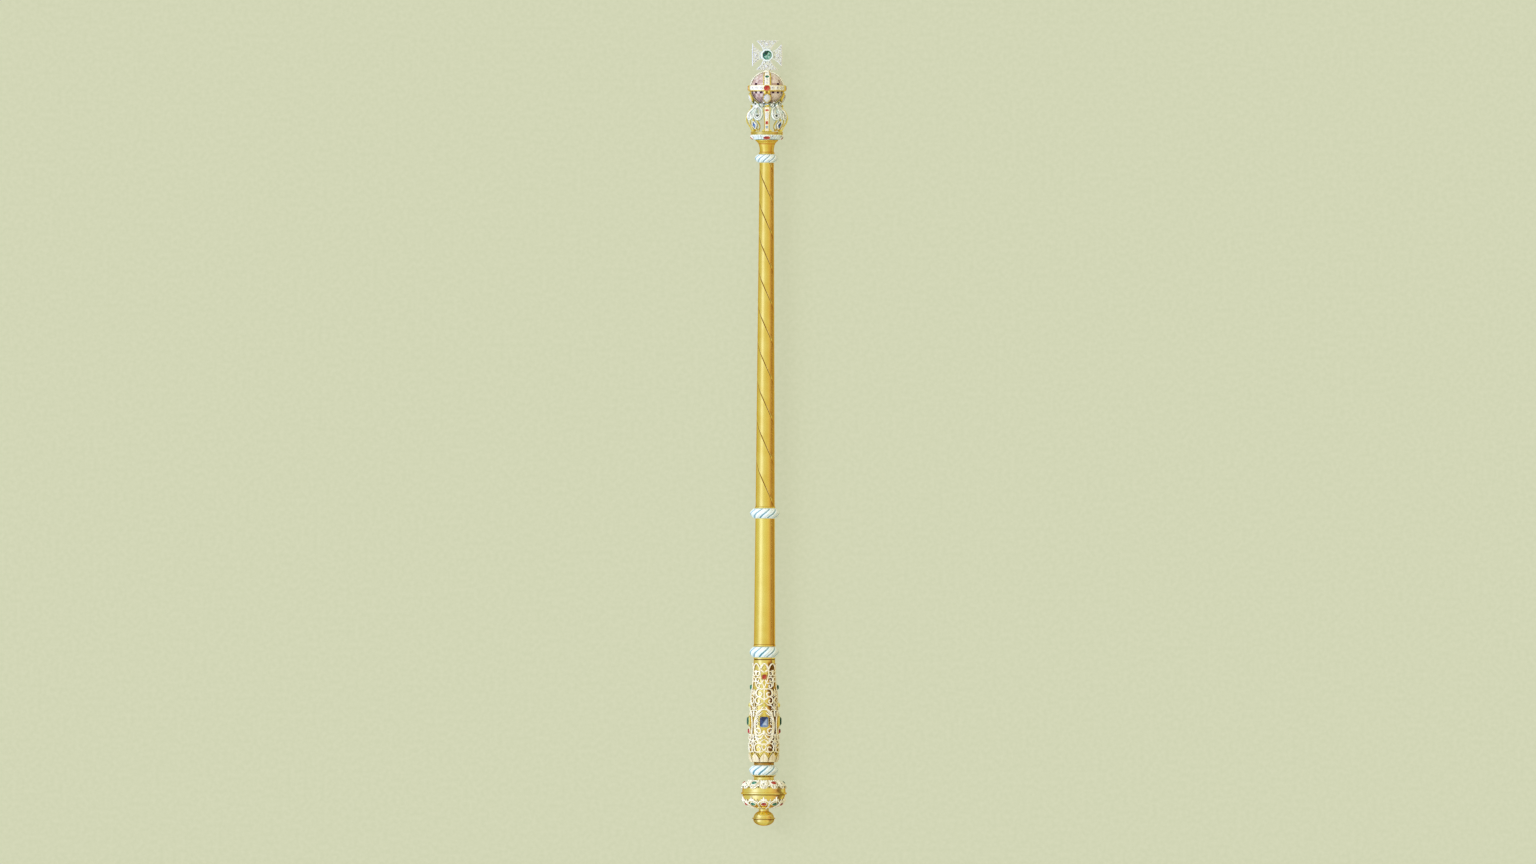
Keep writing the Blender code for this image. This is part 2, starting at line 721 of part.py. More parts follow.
def pear_mesh(width, length, depth):
    """A drop-shaped stone, point down, flat behind."""
    made = bmesh.new()
    bmesh.ops.create_cone(made, cap_ends=True, segments=10, radius1=0.5, radius2=0.32, depth=depth)
    for vertex in made.verts:
        x, y, z = vertex.co
        narrow = 1 - 0.75 * max(0, -y / 0.5) ** 1.5
        vertex.co = (x * narrow * width, y * length, z + depth / 2)
    mesh = bpy.data.meshes.new("pear")
    made.to_mesh(mesh)
    made.free()
    return mesh


# Cross


def arm_outline():
    """The outline of one arm as distances out and across: narrow inside, flared outside."""
    inner, outer = 0.0050, CROSS_REACH - 0.0003
    narrow, wide = 0.0030, 0.0120
    steps = 3
    side = []
    for i in range(steps + 1):
        share = i / steps
        side.append((inner + (outer - inner) * share, narrow + (wide - narrow) * share**1.6))
    return [(out, -across) for out, across in side] + [(CROSS_REACH, 0.0)] + side[::-1]


def cross_plate(half_depth):
    """The four arms as one flat plate, in its own plane."""
    curve = bpy.data.curves.new("cross_outline", "CURVE")
    curve.dimensions = "2D"
    curve.fill_mode = "BOTH"
    curve.extrude = half_depth
    points = []
    for i in range(4):
        turn = Matrix.Rotation(math.pi / 2 * i, 2)
        points += [turn @ Vector(point) for point in arm_outline()]
    spline = curve.splines.new("POLY")
    spline.points.add(len(points) - 1)
    for point, place in zip(spline.points, points):
        point.co = (*place, 0, 1)
    spline.use_cyclic_u = True
    return mesh_of(curve)


def make_cross():
    """A cross with flared arms, its centre raised on both sides to hold a stone."""
    half_depth = 0.0022
    centre_half = 0.0038
    upright = facing(0, CROSS_CENTRE, 0)
    mesh = cross_plate(half_depth)
    mesh.transform(upright)
    cross = piece("cross", mesh, silver)
    centre = upright @ Matrix.Translation((0, 0, -centre_half))
    added = [block(0.0132, 0.0132, 2 * centre_half, 12, 1.0, centre)]
    for side, name, finish in ((0, "cross_emerald", emerald), (math.pi, "cross_rear_stone", diamond)):
        face = upright @ Matrix.Rotation(side, 4, "Y")
        on_arm = Matrix.Translation((0.0116, 0, half_depth - GAP))
        for i in range(4):
            arm = face @ Matrix.Rotation(math.pi / 2 * i, 4, "Z")
            added.append(block(0.0056, 0.0056, 0.0012, 6, 0.7, arm @ on_arm))
        stone = block(0.0098, 0.0098, 0.0014, 8, 0.7)
        piece(name, stone, finish, face @ Matrix.Translation((0, 0, centre_half + GAP)))
    fuse(cross, added)


clear_scene()
parts = new_collection("sceptre")
cutters = new_collection("cutters")

gold = material("gold", (0.83, 0.58, 0.17), 0.25, 1.0)
silver = material("silver", (0.88, 0.88, 0.84), 0.25, 1.0)
enamel = material("enamel", (0.80, 0.88, 0.88), 0.15)
ruby = material("ruby", (0.60, 0.03, 0.04), 0.08)
emerald = material("emerald", (0.02, 0.32, 0.20), 0.08)
sapphire = material("sapphire", (0.03, 0.10, 0.42), 0.08)
diamond = material("diamond", (0.92, 0.94, 0.95), 0.05)
amethyst = material("amethyst", (0.62, 0.48, 0.66), 0.08)

axis = lay_down()
floor_box = block(0.2, 2 * LENGTH, 0.05, 4, 1.0, Matrix.Translation((0, 0, -0.05)))
floor_cutter = helper("floor_cutter", floor_box)

make_foot()
make_pommel_mounts()
make_collars()
make_grip_core()
make_grip_stones()
make_grip_scrollwork()
make_rod()
make_jewelled_ring()
make_ribs()
make_brackets()
make_wreath()
make_orb()
make_orb_frame()
make_cross()
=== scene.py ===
"""The dressed sceptre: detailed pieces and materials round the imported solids.

Pieces are built along the sceptre's own axis, height up from the foot ball, front at -Y and right at +X,
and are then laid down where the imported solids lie. Sizes are in metres, in some tables in millimetres.
"""

import math
import random

import bmesh
import bpy
import numpy as np
from mathutils import Matrix, Vector


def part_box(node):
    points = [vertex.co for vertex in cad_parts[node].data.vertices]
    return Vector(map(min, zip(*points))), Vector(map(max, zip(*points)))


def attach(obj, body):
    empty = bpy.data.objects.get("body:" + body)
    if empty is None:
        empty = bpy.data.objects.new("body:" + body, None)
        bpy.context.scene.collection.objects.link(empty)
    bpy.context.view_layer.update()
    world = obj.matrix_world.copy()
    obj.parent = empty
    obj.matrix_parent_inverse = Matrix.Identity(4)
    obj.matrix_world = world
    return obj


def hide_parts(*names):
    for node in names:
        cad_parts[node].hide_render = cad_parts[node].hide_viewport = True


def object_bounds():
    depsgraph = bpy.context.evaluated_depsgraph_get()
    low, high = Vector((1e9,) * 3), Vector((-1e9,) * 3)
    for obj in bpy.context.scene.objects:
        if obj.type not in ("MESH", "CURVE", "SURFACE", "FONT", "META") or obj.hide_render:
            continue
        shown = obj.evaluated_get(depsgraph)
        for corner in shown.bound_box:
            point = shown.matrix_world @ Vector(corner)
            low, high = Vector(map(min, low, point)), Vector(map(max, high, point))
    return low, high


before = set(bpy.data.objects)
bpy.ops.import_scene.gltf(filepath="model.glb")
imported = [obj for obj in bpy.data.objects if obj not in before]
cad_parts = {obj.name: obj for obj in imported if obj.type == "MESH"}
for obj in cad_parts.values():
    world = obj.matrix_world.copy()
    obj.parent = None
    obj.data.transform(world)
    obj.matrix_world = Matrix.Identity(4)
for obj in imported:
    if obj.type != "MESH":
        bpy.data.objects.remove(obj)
cad_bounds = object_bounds()
RANDOM = random.Random(7)
TAU = math.tau
QUARTERS = {"front": 0, "right": TAU / 4, "back": TAU / 2, "left": -TAU / 4}
GAP = 0.0003  # clearance between neighbouring pieces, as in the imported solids
SECOND, THIRD, FOURTH = 1, 2, 3  # places in a piece's list of materials; the first is 0
UNFITTED = Matrix.Identity(4)


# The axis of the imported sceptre, and where its solids lie along it


def axis_matrix():
    """From the sceptre's own frame to the row frame, read from the two lengths of the rod."""
    (a, b), (c, d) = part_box("rod_lower"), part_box("rod_upper")
    low, high = (a + b) / 2, (c + d) / 2
    lean = math.atan2(low.z - high.z, high.y - low.y)
    foot = cad_bounds[0].y
    height = low.z + (low.y - foot) * math.tan(lean)
    return Matrix.Translation((0, foot, height)) @ Matrix.Rotation(-(math.pi / 2 + lean), 4, "X")


AXIS = axis_matrix()


def own_points(node):
    """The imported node's points in the sceptre's own frame."""
    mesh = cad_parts[node].data
    points = np.empty(len(mesh.vertices) * 3)
    mesh.vertices.foreach_get("co", points)
    back = np.array(AXIS.inverted())
    return points.reshape(-1, 3) @ back[:3, :3].T + back[:3, 3]


def span(node):
    """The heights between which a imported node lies."""
    heights = own_points(node)[:, 2]
    return float(heights.min()), float(heights.max())


def reach(node):
    """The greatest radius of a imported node."""
    points = own_points(node)
    return float(np.hypot(points[:, 0], points[:, 1]).max())


# Numbers, places and curves


def hold(value):
    return max(0.0, min(1.0, value))


def ramp(value, start, end):
    """0 at start and 1 at end, held between them."""
    return hold((value - start) / (end - start))


def stripe(value, start, rise, end, fall):
    """0 outside start and end and 1 between them, after its rise and before its fall."""
    return ramp(value, start, start + rise) * ramp(value, end, end - fall)


def spaced(start, end, count):
    return [start + (end - start) * i / (count - 1) for i in range(count)]


def circle(count, offset=0.0):
    """Angles at even steps all round."""
    return [TAU * (i + offset) / count for i in range(count)]


def around(angle, height, radius):
    return Vector((radius * math.sin(angle), -radius * math.cos(angle), height))


def facing(angle, height, radius, slope=0.0):
    """A frame at that point: X runs round the sceptre, Y up and Z outwards, tipped up by slope."""
    across = Vector((math.cos(angle), math.sin(angle), 0))
    outward = around(angle, 0, math.cos(slope)) + Vector((0, 0, math.sin(slope)))
    axes = Matrix((across, outward.cross(across), outward)).transposed().to_4x4()
    return Matrix.Translation(around(angle, height, radius)) @ axes


def on(surface, angle, height, lift=0.0, degrees=0.0):
    """A frame on a surface, which gives the radius at a height."""
    return facing(angle, height, surface(height) + lift, math.radians(degrees))


def along(table, height):
    """The value at a height in a table of (height, value) points, on a smooth curve through them."""
    if height <= table[0][0]:
        return table[0][1]
    for i in range(len(table) - 1):
        low, high = table[i], table[i + 1]
        if height <= high[0]:
            before, after = table[max(i - 1, 0)], table[min(i + 2, len(table) - 1)]
            run = high[0] - low[0]
            t = (height - low[0]) / run
            start = (high[1] - before[1]) / (high[0] - before[0]) * run
            end = (after[1] - low[1]) / (after[0] - low[0]) * run
            value = low[1] * (2 * t**3 - 3 * t**2 + 1) + high[1] * (3 * t**2 - 2 * t**3)
            return value + start * (t**3 - 2 * t**2 + t) + end * (t**3 - t**2)
    return table[-1][1]


def curve(controls, count):
    """Points of a smooth curve through the control points."""
    ends = [Vector(p) for p in (controls[0], *controls, controls[-1])]
    points = []
    for place in spaced(0, len(controls) - 1, count):
        run = min(int(place), len(controls) - 2)
        t = place - run
        p0, p1, p2, p3 = ends[run : run + 4]
        square = 2 * p0 - 5 * p1 + 4 * p2 - p3
        cube = 3 * p1 - p0 - 3 * p2 + p3
        points.append(0.5 * (2 * p1 + (p2 - p0) * t + square * t**2 + cube * t**3))
    return points


def volute(stem, eye, size, turns, count=28):
    """A stem through its points that runs into a spiral round its eye, ending size away from it."""
    eye = Vector(eye)
    out = Vector(stem[-1]) - eye
    start = math.atan2(out.y, out.x)
    spiral = []
    for i in range(1, count + 1):
        far = out.length + (size - out.length) * i / count
        angle = start + TAU * turns * i / count
        spiral.append(eye + far * Vector((math.cos(angle), math.sin(angle))))
    return curve([*stem, spiral[0]], 4 * len(stem) + 4) + spiral[1:]


def mirrored(path):
    return [Vector((-p[0], p[1])) for p in path]


# Shapes


class Shape:
    """Points, faces, the number of each face's finish, and a tone for each corner: 1 in a groove's depth, and
    higher where shade is painted.
    """

    def __init__(self):
        self.points, self.faces, self.finishes, self.tones = [], [], [], []

    def add(self, points, faces, finish=0, tones=None, place=None, shades=None):
        """tones has a number for each point; shades, in its place, has one for each face."""
        start = len(self.points)
        if place is not None:
            points = [place @ Vector(point) for point in points]
        self.points += [tuple(point) for point in points]
        self.finishes += [finish] * len(faces)
        for number, face in enumerate(faces):
            self.faces.append(tuple(start + i for i in face))
            if shades is not None:
                self.tones += [shades[number]] * len(face)
            else:
                self.tones += [tones[i] if tones is not None else 0.0 for i in face]


def grid(rows, size, wrap=True, closed=False):
    """Faces between rows of points; wrap joins each row's ends, and closed the last row to the first."""
    faces = []
    for i in range(rows if closed else rows - 1):
        here, there = i * size, (i + 1) % rows * size
        for j in range(size if wrap else size - 1):
            k = (j + 1) % size
            faces.append((here + j, here + k, there + k, there + j))
    return faces


def caps(rows, size):
    """Faces that close the first and the last row."""
    last = (rows - 1) * size
    return [tuple(range(size))[::-1], tuple(range(last, last + size))]


def fan(first, size, tip):
    """Faces from a row to a tip."""
    return [(first + i, first + (i + 1) % size, tip) for i in range(size)]


def arc(middle, half_height, radius, start, end, count):
    """Points of a rounded profile between two angles, in degrees above its middle."""
    angles = [math.radians(degrees) for degrees in spaced(start, end, count)]
    return [(radius * math.cos(a), middle + half_height * math.sin(a)) for a in angles]


def bulge(wide, middle, size, start, end, count):
    """A small rounded rim that reaches out to a radius."""
    return [(wide - size + out, height) for out, height in arc(middle, size, size, start, end, count)]


def lifted(rows, base):
    """Rows of radius, height and tone, in millimetres, as a profile over a base."""
    return [(radius / 1000, base + height / 1000, *tone) for radius, height, *tone in rows]


def soften(profile, cut=0.0003, steps=3):
    """Rounds the corners of a profile of (radius, height, tone) points."""
    points = [tuple(p) + (0.0,) * (3 - len(p)) for p in profile]
    made = [points[0]]
    for before, corner, after in zip(points, points[1:], points[2:]):
        corner = Vector(corner)
        ends = []
        for other in (Vector(before), Vector(after)):
            length = (other - corner).xy.length
            ends.append(corner.lerp(other, min(0.45, cut / length) if length else 0))
        for t in spaced(0, 1, steps + 1):
            made.append(tuple(ends[0] * (1 - t) ** 2 + corner * 2 * t * (1 - t) + ends[1] * t**2))
    return made + [points[-1]]


def turn(shape, profile, steps=96, finish=0, rule=None, ring=False):
    """Turns a profile of (radius, height, tone) points round the axis; ring joins its ends.

    rule takes a point's angle, height, radius and tone and gives the new four.
    """
    points, tones = [], []
    for angle in circle(steps):
        for radius, height, *tone in profile:
            place = (angle, height, radius, tone[0] if tone else 0.0)
            if rule is not None and radius > 1e-6:
                place = rule(*place)
            points.append(around(*place[:3]))
            tones.append(place[3])
    shape.add(points, grid(steps, len(profile), ring, True), finish, tones)


def painted_shade(strength, start, rise, end, fall, heights=None, wave=(0, 0), period=180):
    """A rule for turn: painted shade, a darker stripe between two angles in degrees, and between two heights
    if given.
    """

    def rule(angle, height, radius, tone):
        turned = math.degrees(angle) % period + wave[0] * math.sin(height * wave[1])
        share = stripe(turned, start, rise, end, fall) * (stripe(height, *heights) if heights else 1)
        return angle, height, radius, max(tone, strength * share)

    return rule


def both_sides(*half):
    """A section from its right half, foot first: (across, up, tone) points; 1 across is half its width."""
    return (*[(-across, up, tone) for across, up, tone in half if across], *half[::-1])


ROUND = both_sides((1, -0.5, 0.5), (1, 0.1, 0.3), (0.7, 0.7, 0), (0, 1, 0))
LEAF = both_sides((1, -0.5, 1), (1, 0.2, 0.3), (0.55, 0.95, 0), (0, 0.3, 1))
RIDGE = both_sides((1, -0.5, 0.6), (0.9, 0.1, 0.2), (0, 1, 0))
BAND = both_sides((1, -0.5, 0.5), (1, 0.7, 0), (0.85, 1, 0))
STRAP = both_sides((1, -0.8, 0.6), (1, 0.7, 0), (0.92, 1, 0), (0.80, 0.9, 0.1), (0.74, 0.2, 0.9))


def bar(shape, path, outward, width, height, section=ROUND, finish=0, closed=False):
    """Sweeps a section along a path of points; width is one number or one for each point."""
    count = len(path)
    widths = [width] * count if isinstance(width, float) else width
    points, tones = [], []
    for i, (place, out) in enumerate(zip(path, outward)):
        before = path[i - 1] if closed or i else path[0]
        after = path[(i + 1) % count] if closed or i + 1 < count else path[-1]
        side = (after - before).normalized().cross(out).normalized()
        for across, up, tone in section:
            points.append(place + side * (across * widths[i] / 2) + out * (up * height))
            tones.append(tone)
    faces = grid(count, len(section), True, closed)
    if not closed:
        faces += caps(count, len(section))
    shape.add(points, faces, finish, tones)


def wrapped(path, middle, surface, lift=0.0):
    """Places and outward directions of an (across, height) path laid round the sceptre on a surface."""
    places, outward = [], []
    for across, height in path:
        radius = surface(height)
        angle = middle + across / radius
        slope = (surface(height + 0.0002) - surface(height - 0.0002)) / 0.0004
        out = (around(angle, 0, 1) + Vector((0, 0, -slope))).normalized()
        places.append(around(angle, height, radius) + out * lift)
        outward.append(out)
    return places, outward


def tapered(count, width, start, end, swell=0.5):
    """Widths along a leaf or stem: start and end as shares of the greatest, which lies at swell."""
    made = []
    for t in spaced(0, 1, count):
        low, share = (start, t / swell) if t < swell else (end, (1 - t) / (1 - swell))
        made.append(width * (low + (1 - low) * math.sin(math.pi / 2 * share)))
    return made


def strip(
    shape, surface, middle, path, width, height, taper=None, section=ROUND, finish=0, lift=0.0, closed=False
):
    """A bar along an (across, height) path laid on a surface; taper thins its ends."""
    places, outward = wrapped(path, middle, surface, lift)
    widths = tapered(len(path), width, *taper) if taper else width
    bar(shape, places, outward, widths, height, section, finish, closed)


def bead(shape, place, radius, finish=0, flat=1.0, steps=10):
    """A pearl: a dome over its own frame's XY plane, its rim a little sunk."""
    rows = 4
    points = []
    for j in range(rows):
        tilt = math.pi / 2 * (j / rows - 0.25)
        out, rise = radius * math.cos(tilt), radius * flat * math.sin(tilt)
        points += [(out * math.cos(a), out * math.sin(a), rise) for a in circle(steps)]
    points.append((0, 0, radius * flat))
    faces = grid(rows, steps) + fan((rows - 1) * steps, steps, len(points) - 1)
    shape.add(points, [*faces, tuple(range(steps))[::-1]], finish, place=place)


# Stones and their settings


def oval(width, length, count):
    return [(width / 2 * math.sin(a), length / 2 * math.cos(a)) for a in circle(count)]


def whole(right):
    """An outline from its right half, turned about the middle for the left one."""
    return right + [(-x, -y) for x, y in right]


def octagon(width, length, corner):
    """An oblong with cut corners."""
    x, y = width / 2, length / 2
    c = corner * min(width, length)
    return whole([(x - c, y), (x, y - c), (x, c - y), (x - c, -y)])


def pear(width, length):
    """A drop with its point down."""
    narrow = [1 - 0.72 * max(0, -math.cos(a)) ** 1.4 for a in circle(20)]
    return [(x * share, y) for (x, y), share in zip(oval(width, length, 20), narrow)]


def lozenge(width, length):
    x, y = width / 2, length / 2
    c, d = 0.12 * x, 0.12 * y
    return whole([(c, y), (x, d), (x, -d), (c, -y)])


def facet_shades(points, faces, depth, base, contrast):
    """A painted shade for each facet, 0 pale and 1 deep: deep towards the upper left, where the light comes
    from, and a painted glow at the lower right.
    """
    shades = []
    for face in faces:
        corners = [Vector(points[i]) for i in face]
        middle = sum(corners, Vector()) / len(corners)
        normal = Vector()
        for one, other in zip(corners[1:], corners[2:]):
            normal += (one - corners[0]).cross(other - corners[0])
        normal = normal.normalized() if normal.length > 0 else Vector((0, 0, 1))
        if normal.dot(middle + Vector((0, 0, depth))) < 0:
            normal = -normal
        lean = 0.49 * (normal.y - normal.x)
        far = 0.35 * (middle.y - middle.x) / (middle.length + 0.0008)
        shades.append(hold(base + contrast * (lean + far) + RANDOM.uniform(-0.12, 0.12)))
    return shades


def stone(shape, place, outline, depth, table=0.58, step=0.84, base=0.5, contrast=0.6, top=None):
    """A step-cut stone over its frame's XY plane: girdle, two rows of facets and a low-pitched table.

    top has the painted shades and glints of the table's facets, where they are chosen one by one.
    """
    count = len(outline)
    rings = ((0.80, -0.35), (1.0, 0.0), (1.0, 0.16), (step, 0.62), (table, 0.94))
    points = [(0, 0, -0.5 * depth)]
    points += [(scale * x, scale * y, rise * depth) for scale, rise in rings for x, y in outline]
    points.append((0, 0, depth))
    faces = []
    for i in range(count):
        k = (i + 1) % count
        faces.append((0, 1 + k, 1 + i))
        for low in range(1, 4 * count, count):
            faces.append((low + i, low + k, low + count + k, low + count + i))
    faces += fan(1 + 4 * count, count, len(points) - 1)
    shades = facet_shades(points, faces, depth, base, contrast)
    if top is not None:
        shades[-count:] = top
    shape.add(points, faces, place=place, shades=shades)


def brilliant(shape, place, width, length, depth, sides=8, base=0.5, contrast=0.55, twist=0.0, heart=False):
    """A round or oval stone with star and kite facets round a low-pitched table.

    Its dark reflection, when asked for, is painted: a pale rim, and the upper left of its table dark.
    """
    rings = ((1, 0, 0), (1, 0.14, 0), (0.985, 0.14, 0.5), (0.80, 0.62, 0.5), (0.56, 0.94, 0))
    points = [(0, 0, -0.55 * depth)]
    for scale, rise, offset in rings:
        for a in circle(sides, offset):
            x, y = math.sin(a + twist) * width / 2, math.cos(a + twist) * length / 2
            points.append((scale * x, scale * y, rise * depth))
    points.append((0, 0, depth))
    under, girdle, between, middle, table = (1 + sides * ring for ring in range(5))
    faces = []
    for i in range(sides):
        k = (i + 1) % sides
        faces += [
            (0, under + k, under + i),
            (under + i, under + k, girdle + k, between + i, girdle + i),
            (girdle + i, between + i, middle + i),
            (between + i, girdle + k, middle + i),
            (middle + i, girdle + k, middle + k, table + k),
            (table + i, middle + i, table + k),
        ]
    faces += fan(table, sides, len(points) - 1)
    shades = facet_shades(points, faces, depth, base, contrast)
    if heart:
        shades = [0.25 * shade for shade in shades]
        shades[-sides:] = [max(0.05, 0.95 * math.cos(a + twist + TAU / 8)) for a in circle(sides, 0.5)]
    shape.add(points, faces, place=place, shades=shades)


def collet(shape, place, outline, rise, drop, wall=0.0004, flare=0.0003, finish=0):
    """The rim that holds a stone: a wall round its outline, from drop below to rise above its girdle."""
    rings = (
        (flare + wall, -drop, 0.8),
        (wall, rise * 0.4, 0.1),
        (wall * 0.8, rise * 0.9, 0.0),
        (wall * 0.3, rise, 0.0),
        (-0.00005, rise * 0.8, 0.3),
        (-0.0001, -0.0002, 1.0),
    )
    points, tones = [], []
    for by, height, tone in rings:
        for x, y in outline:
            grown = 1 + by / math.hypot(x, y)
            points.append((x * grown, y * grown, height))
            tones.append(tone)
    faces = grid(len(rings), len(outline)) + caps(len(rings), len(outline))[1:]
    shape.add(points, faces, finish, tones, place)


# Materials


class Nodes:
    """A material's node tree, with short ways to add to it."""

    def __init__(self, name):
        self.material = bpy.data.materials.new(name)
        self.material.use_nodes = True
        self.tree = self.material.node_tree
        self.shader = self.tree.nodes["Principled BSDF"]

    def value(self, socket, number):
        self.shader.inputs[socket].default_value = number

    def node(self, kind, settings=(), **inputs):
        """Adds a node with its settings; a number or colour is set on its socket and the rest is linked."""
        made = self.tree.nodes.new(kind)
        for name, setting in dict(settings).items():
            setattr(made, name, setting)
        for name, given in inputs.items():
            socket = made.inputs[name.replace("_", " ")]
            if isinstance(given, (int, float, tuple)):
                socket.default_value = given
            else:
                self.link(given, socket)
        return made

    def link(self, source, target):
        self.tree.links.new(source, target)

    def shade(self, source, socket="Base Color"):
        self.link(source, self.shader.inputs[socket])

    def tone(self):
        return self.node("ShaderNodeAttribute", {"attribute_name": "tone"}).outputs["Fac"]

    def noise(self, scale, detail=3.0, stretch=None):
        place = self.node("ShaderNodeTexCoord").outputs["Object"]
        if stretch is not None:
            place = self.node("ShaderNodeMapping", Vector=place, Scale=stretch).outputs["Vector"]
        made = self.node("ShaderNodeTexNoise", Vector=place, Scale=scale, Detail=detail, Roughness=0.55)
        return made.outputs["Fac"]

    def spread(self, source, low, high, start=0.0, end=1.0):
        """Maps low to high onto start to end, held within them."""
        sizes = {"From Min": low, "From Max": high, "To Min": start, "To Max": end}
        return self.node("ShaderNodeMapRange", Value=source, **sizes).outputs["Result"]

    def mix(self, share, first, second):
        first, second = ((*c, 1) if isinstance(c, tuple) else c for c in (first, second))
        made = self.node("ShaderNodeMix", {"data_type": "RGBA"}, Factor=share, A=first, B=second)
        return made.outputs["Result"]

    def mottled(self, scale, first, second, detail=3.0):
        """Two colours in soft patches."""
        return self.mix(self.spread(self.noise(scale, detail), 0.35, 0.65), first, second)

    def maths(self, operation, first, second):
        made = self.node("ShaderNodeMath", {"operation": operation})
        for socket, value in zip(made.inputs, (first, second)):
            if isinstance(value, float):
                socket.default_value = value
            else:
                self.link(value, socket)
        return made.outputs["Value"]

    def bump(self, source, strength, distance):
        made = self.node("ShaderNodeBump", Strength=strength, Distance=distance, Height=source)
        self.shade(made.outputs["Normal"], "Normal")

    def edges(self):
        """1 along worn edges, 0 elsewhere."""
        return self.spread(self.node("ShaderNodeNewGeometry").outputs["Pointiness"], 0.52, 0.60)


def gold(name, colour, deep, dark, roughness=0.24, chased=False, shade_colour=None):
    """Polished or chased gold, darker by its tone: dark brown in its grooves and in painted shade down one
    side where a piece sets it, its edges rubbed bright.

    The last colour, where given, is that of the darkening where it begins, mostly the painted shade.
    """
    made = Nodes(name)
    bright = tuple(min(1, c * 1.12) for c in colour)
    rubbed = made.mix(made.edges(), made.mottled(70, colour, deep, 4), bright)
    if shade_colour is not None:
        rubbed = made.mix(made.spread(made.tone(), 0.05, 0.5), rubbed, shade_colour)
    made.shade(made.mix(made.spread(made.tone(), 0.25, 0.95), rubbed, dark))
    made.value("Metallic", 1.0)
    made.value("Specular Tint", (0.85, 0.50, 0.25, 1))
    grain = made.noise(900, 4, stretch=(1, 0.12, 1))
    rough = made.spread(grain, 0.3, 0.7, roughness - 0.05, roughness + 0.08)
    made.shade(made.maths("ADD", rough, made.maths("MULTIPLY", made.tone(), 0.22)), "Roughness")
    if chased:
        made.bump(made.noise(900, 2), 0.22, 0.00010)
    else:
        made.bump(grain, 0.12, 0.00006)
    return made.material


def enamel(name, colour, warm, groove):
    """Opaque fired enamel, glossy, a little uneven and darker by its tone: where it pools in the grooves, and
    where a piece paints shade.
    """
    made = Nodes(name)
    made.shade(made.mix(made.spread(made.tone(), 0.2, 0.9), made.mottled(240, colour, warm), groove))
    made.shade(made.spread(made.noise(500), 0.3, 0.7, 0.18, 0.32), "Roughness")
    made.value("Coat Weight", 0.35)
    made.value("Coat Roughness", 0.08)
    made.bump(made.noise(700, 2), 0.25, 0.00008)
    return made.material


def gem(name, colour, pale, deep, ior, transmission=0.45, gloss=0.3):
    """A clear stone whose facets go from pale through its colour to deep, with faint growth bands."""
    made = Nodes(name)
    tone = made.maths("ADD", made.tone(), made.spread(made.noise(500, 2), 0.3, 0.7, -0.07, 0.07))
    light = made.mix(made.spread(tone, 0.05, 0.42), pale, colour)
    made.shade(made.mix(made.spread(tone, 0.52, 0.92), light, deep))
    made.value("Transmission Weight", transmission)
    made.value("IOR", ior)
    made.value("Specular IOR Level", gloss)
    made.shade(made.spread(made.noise(900, 2), 0.3, 0.7, 0.05, 0.11), "Roughness")
    made.bump(made.noise(260, 2), 0.06, 0.00006)
    return made.material


def silver(name):
    made = Nodes(name)
    metal = made.mottled(300, (0.96, 0.96, 0.90), (0.88, 0.90, 0.84))
    worn = made.mix(made.edges(), metal, (0.99, 0.98, 0.94))
    made.shade(made.mix(made.spread(made.tone(), 0.3, 1), worn, (0.36, 0.38, 0.34)))
    made.value("Metallic", 0.85)
    made.shade(made.spread(made.noise(800), 0.3, 0.7, 0.32, 0.46), "Roughness")
    made.bump(made.noise(1200), 0.2, 0.00006)
    return made.material
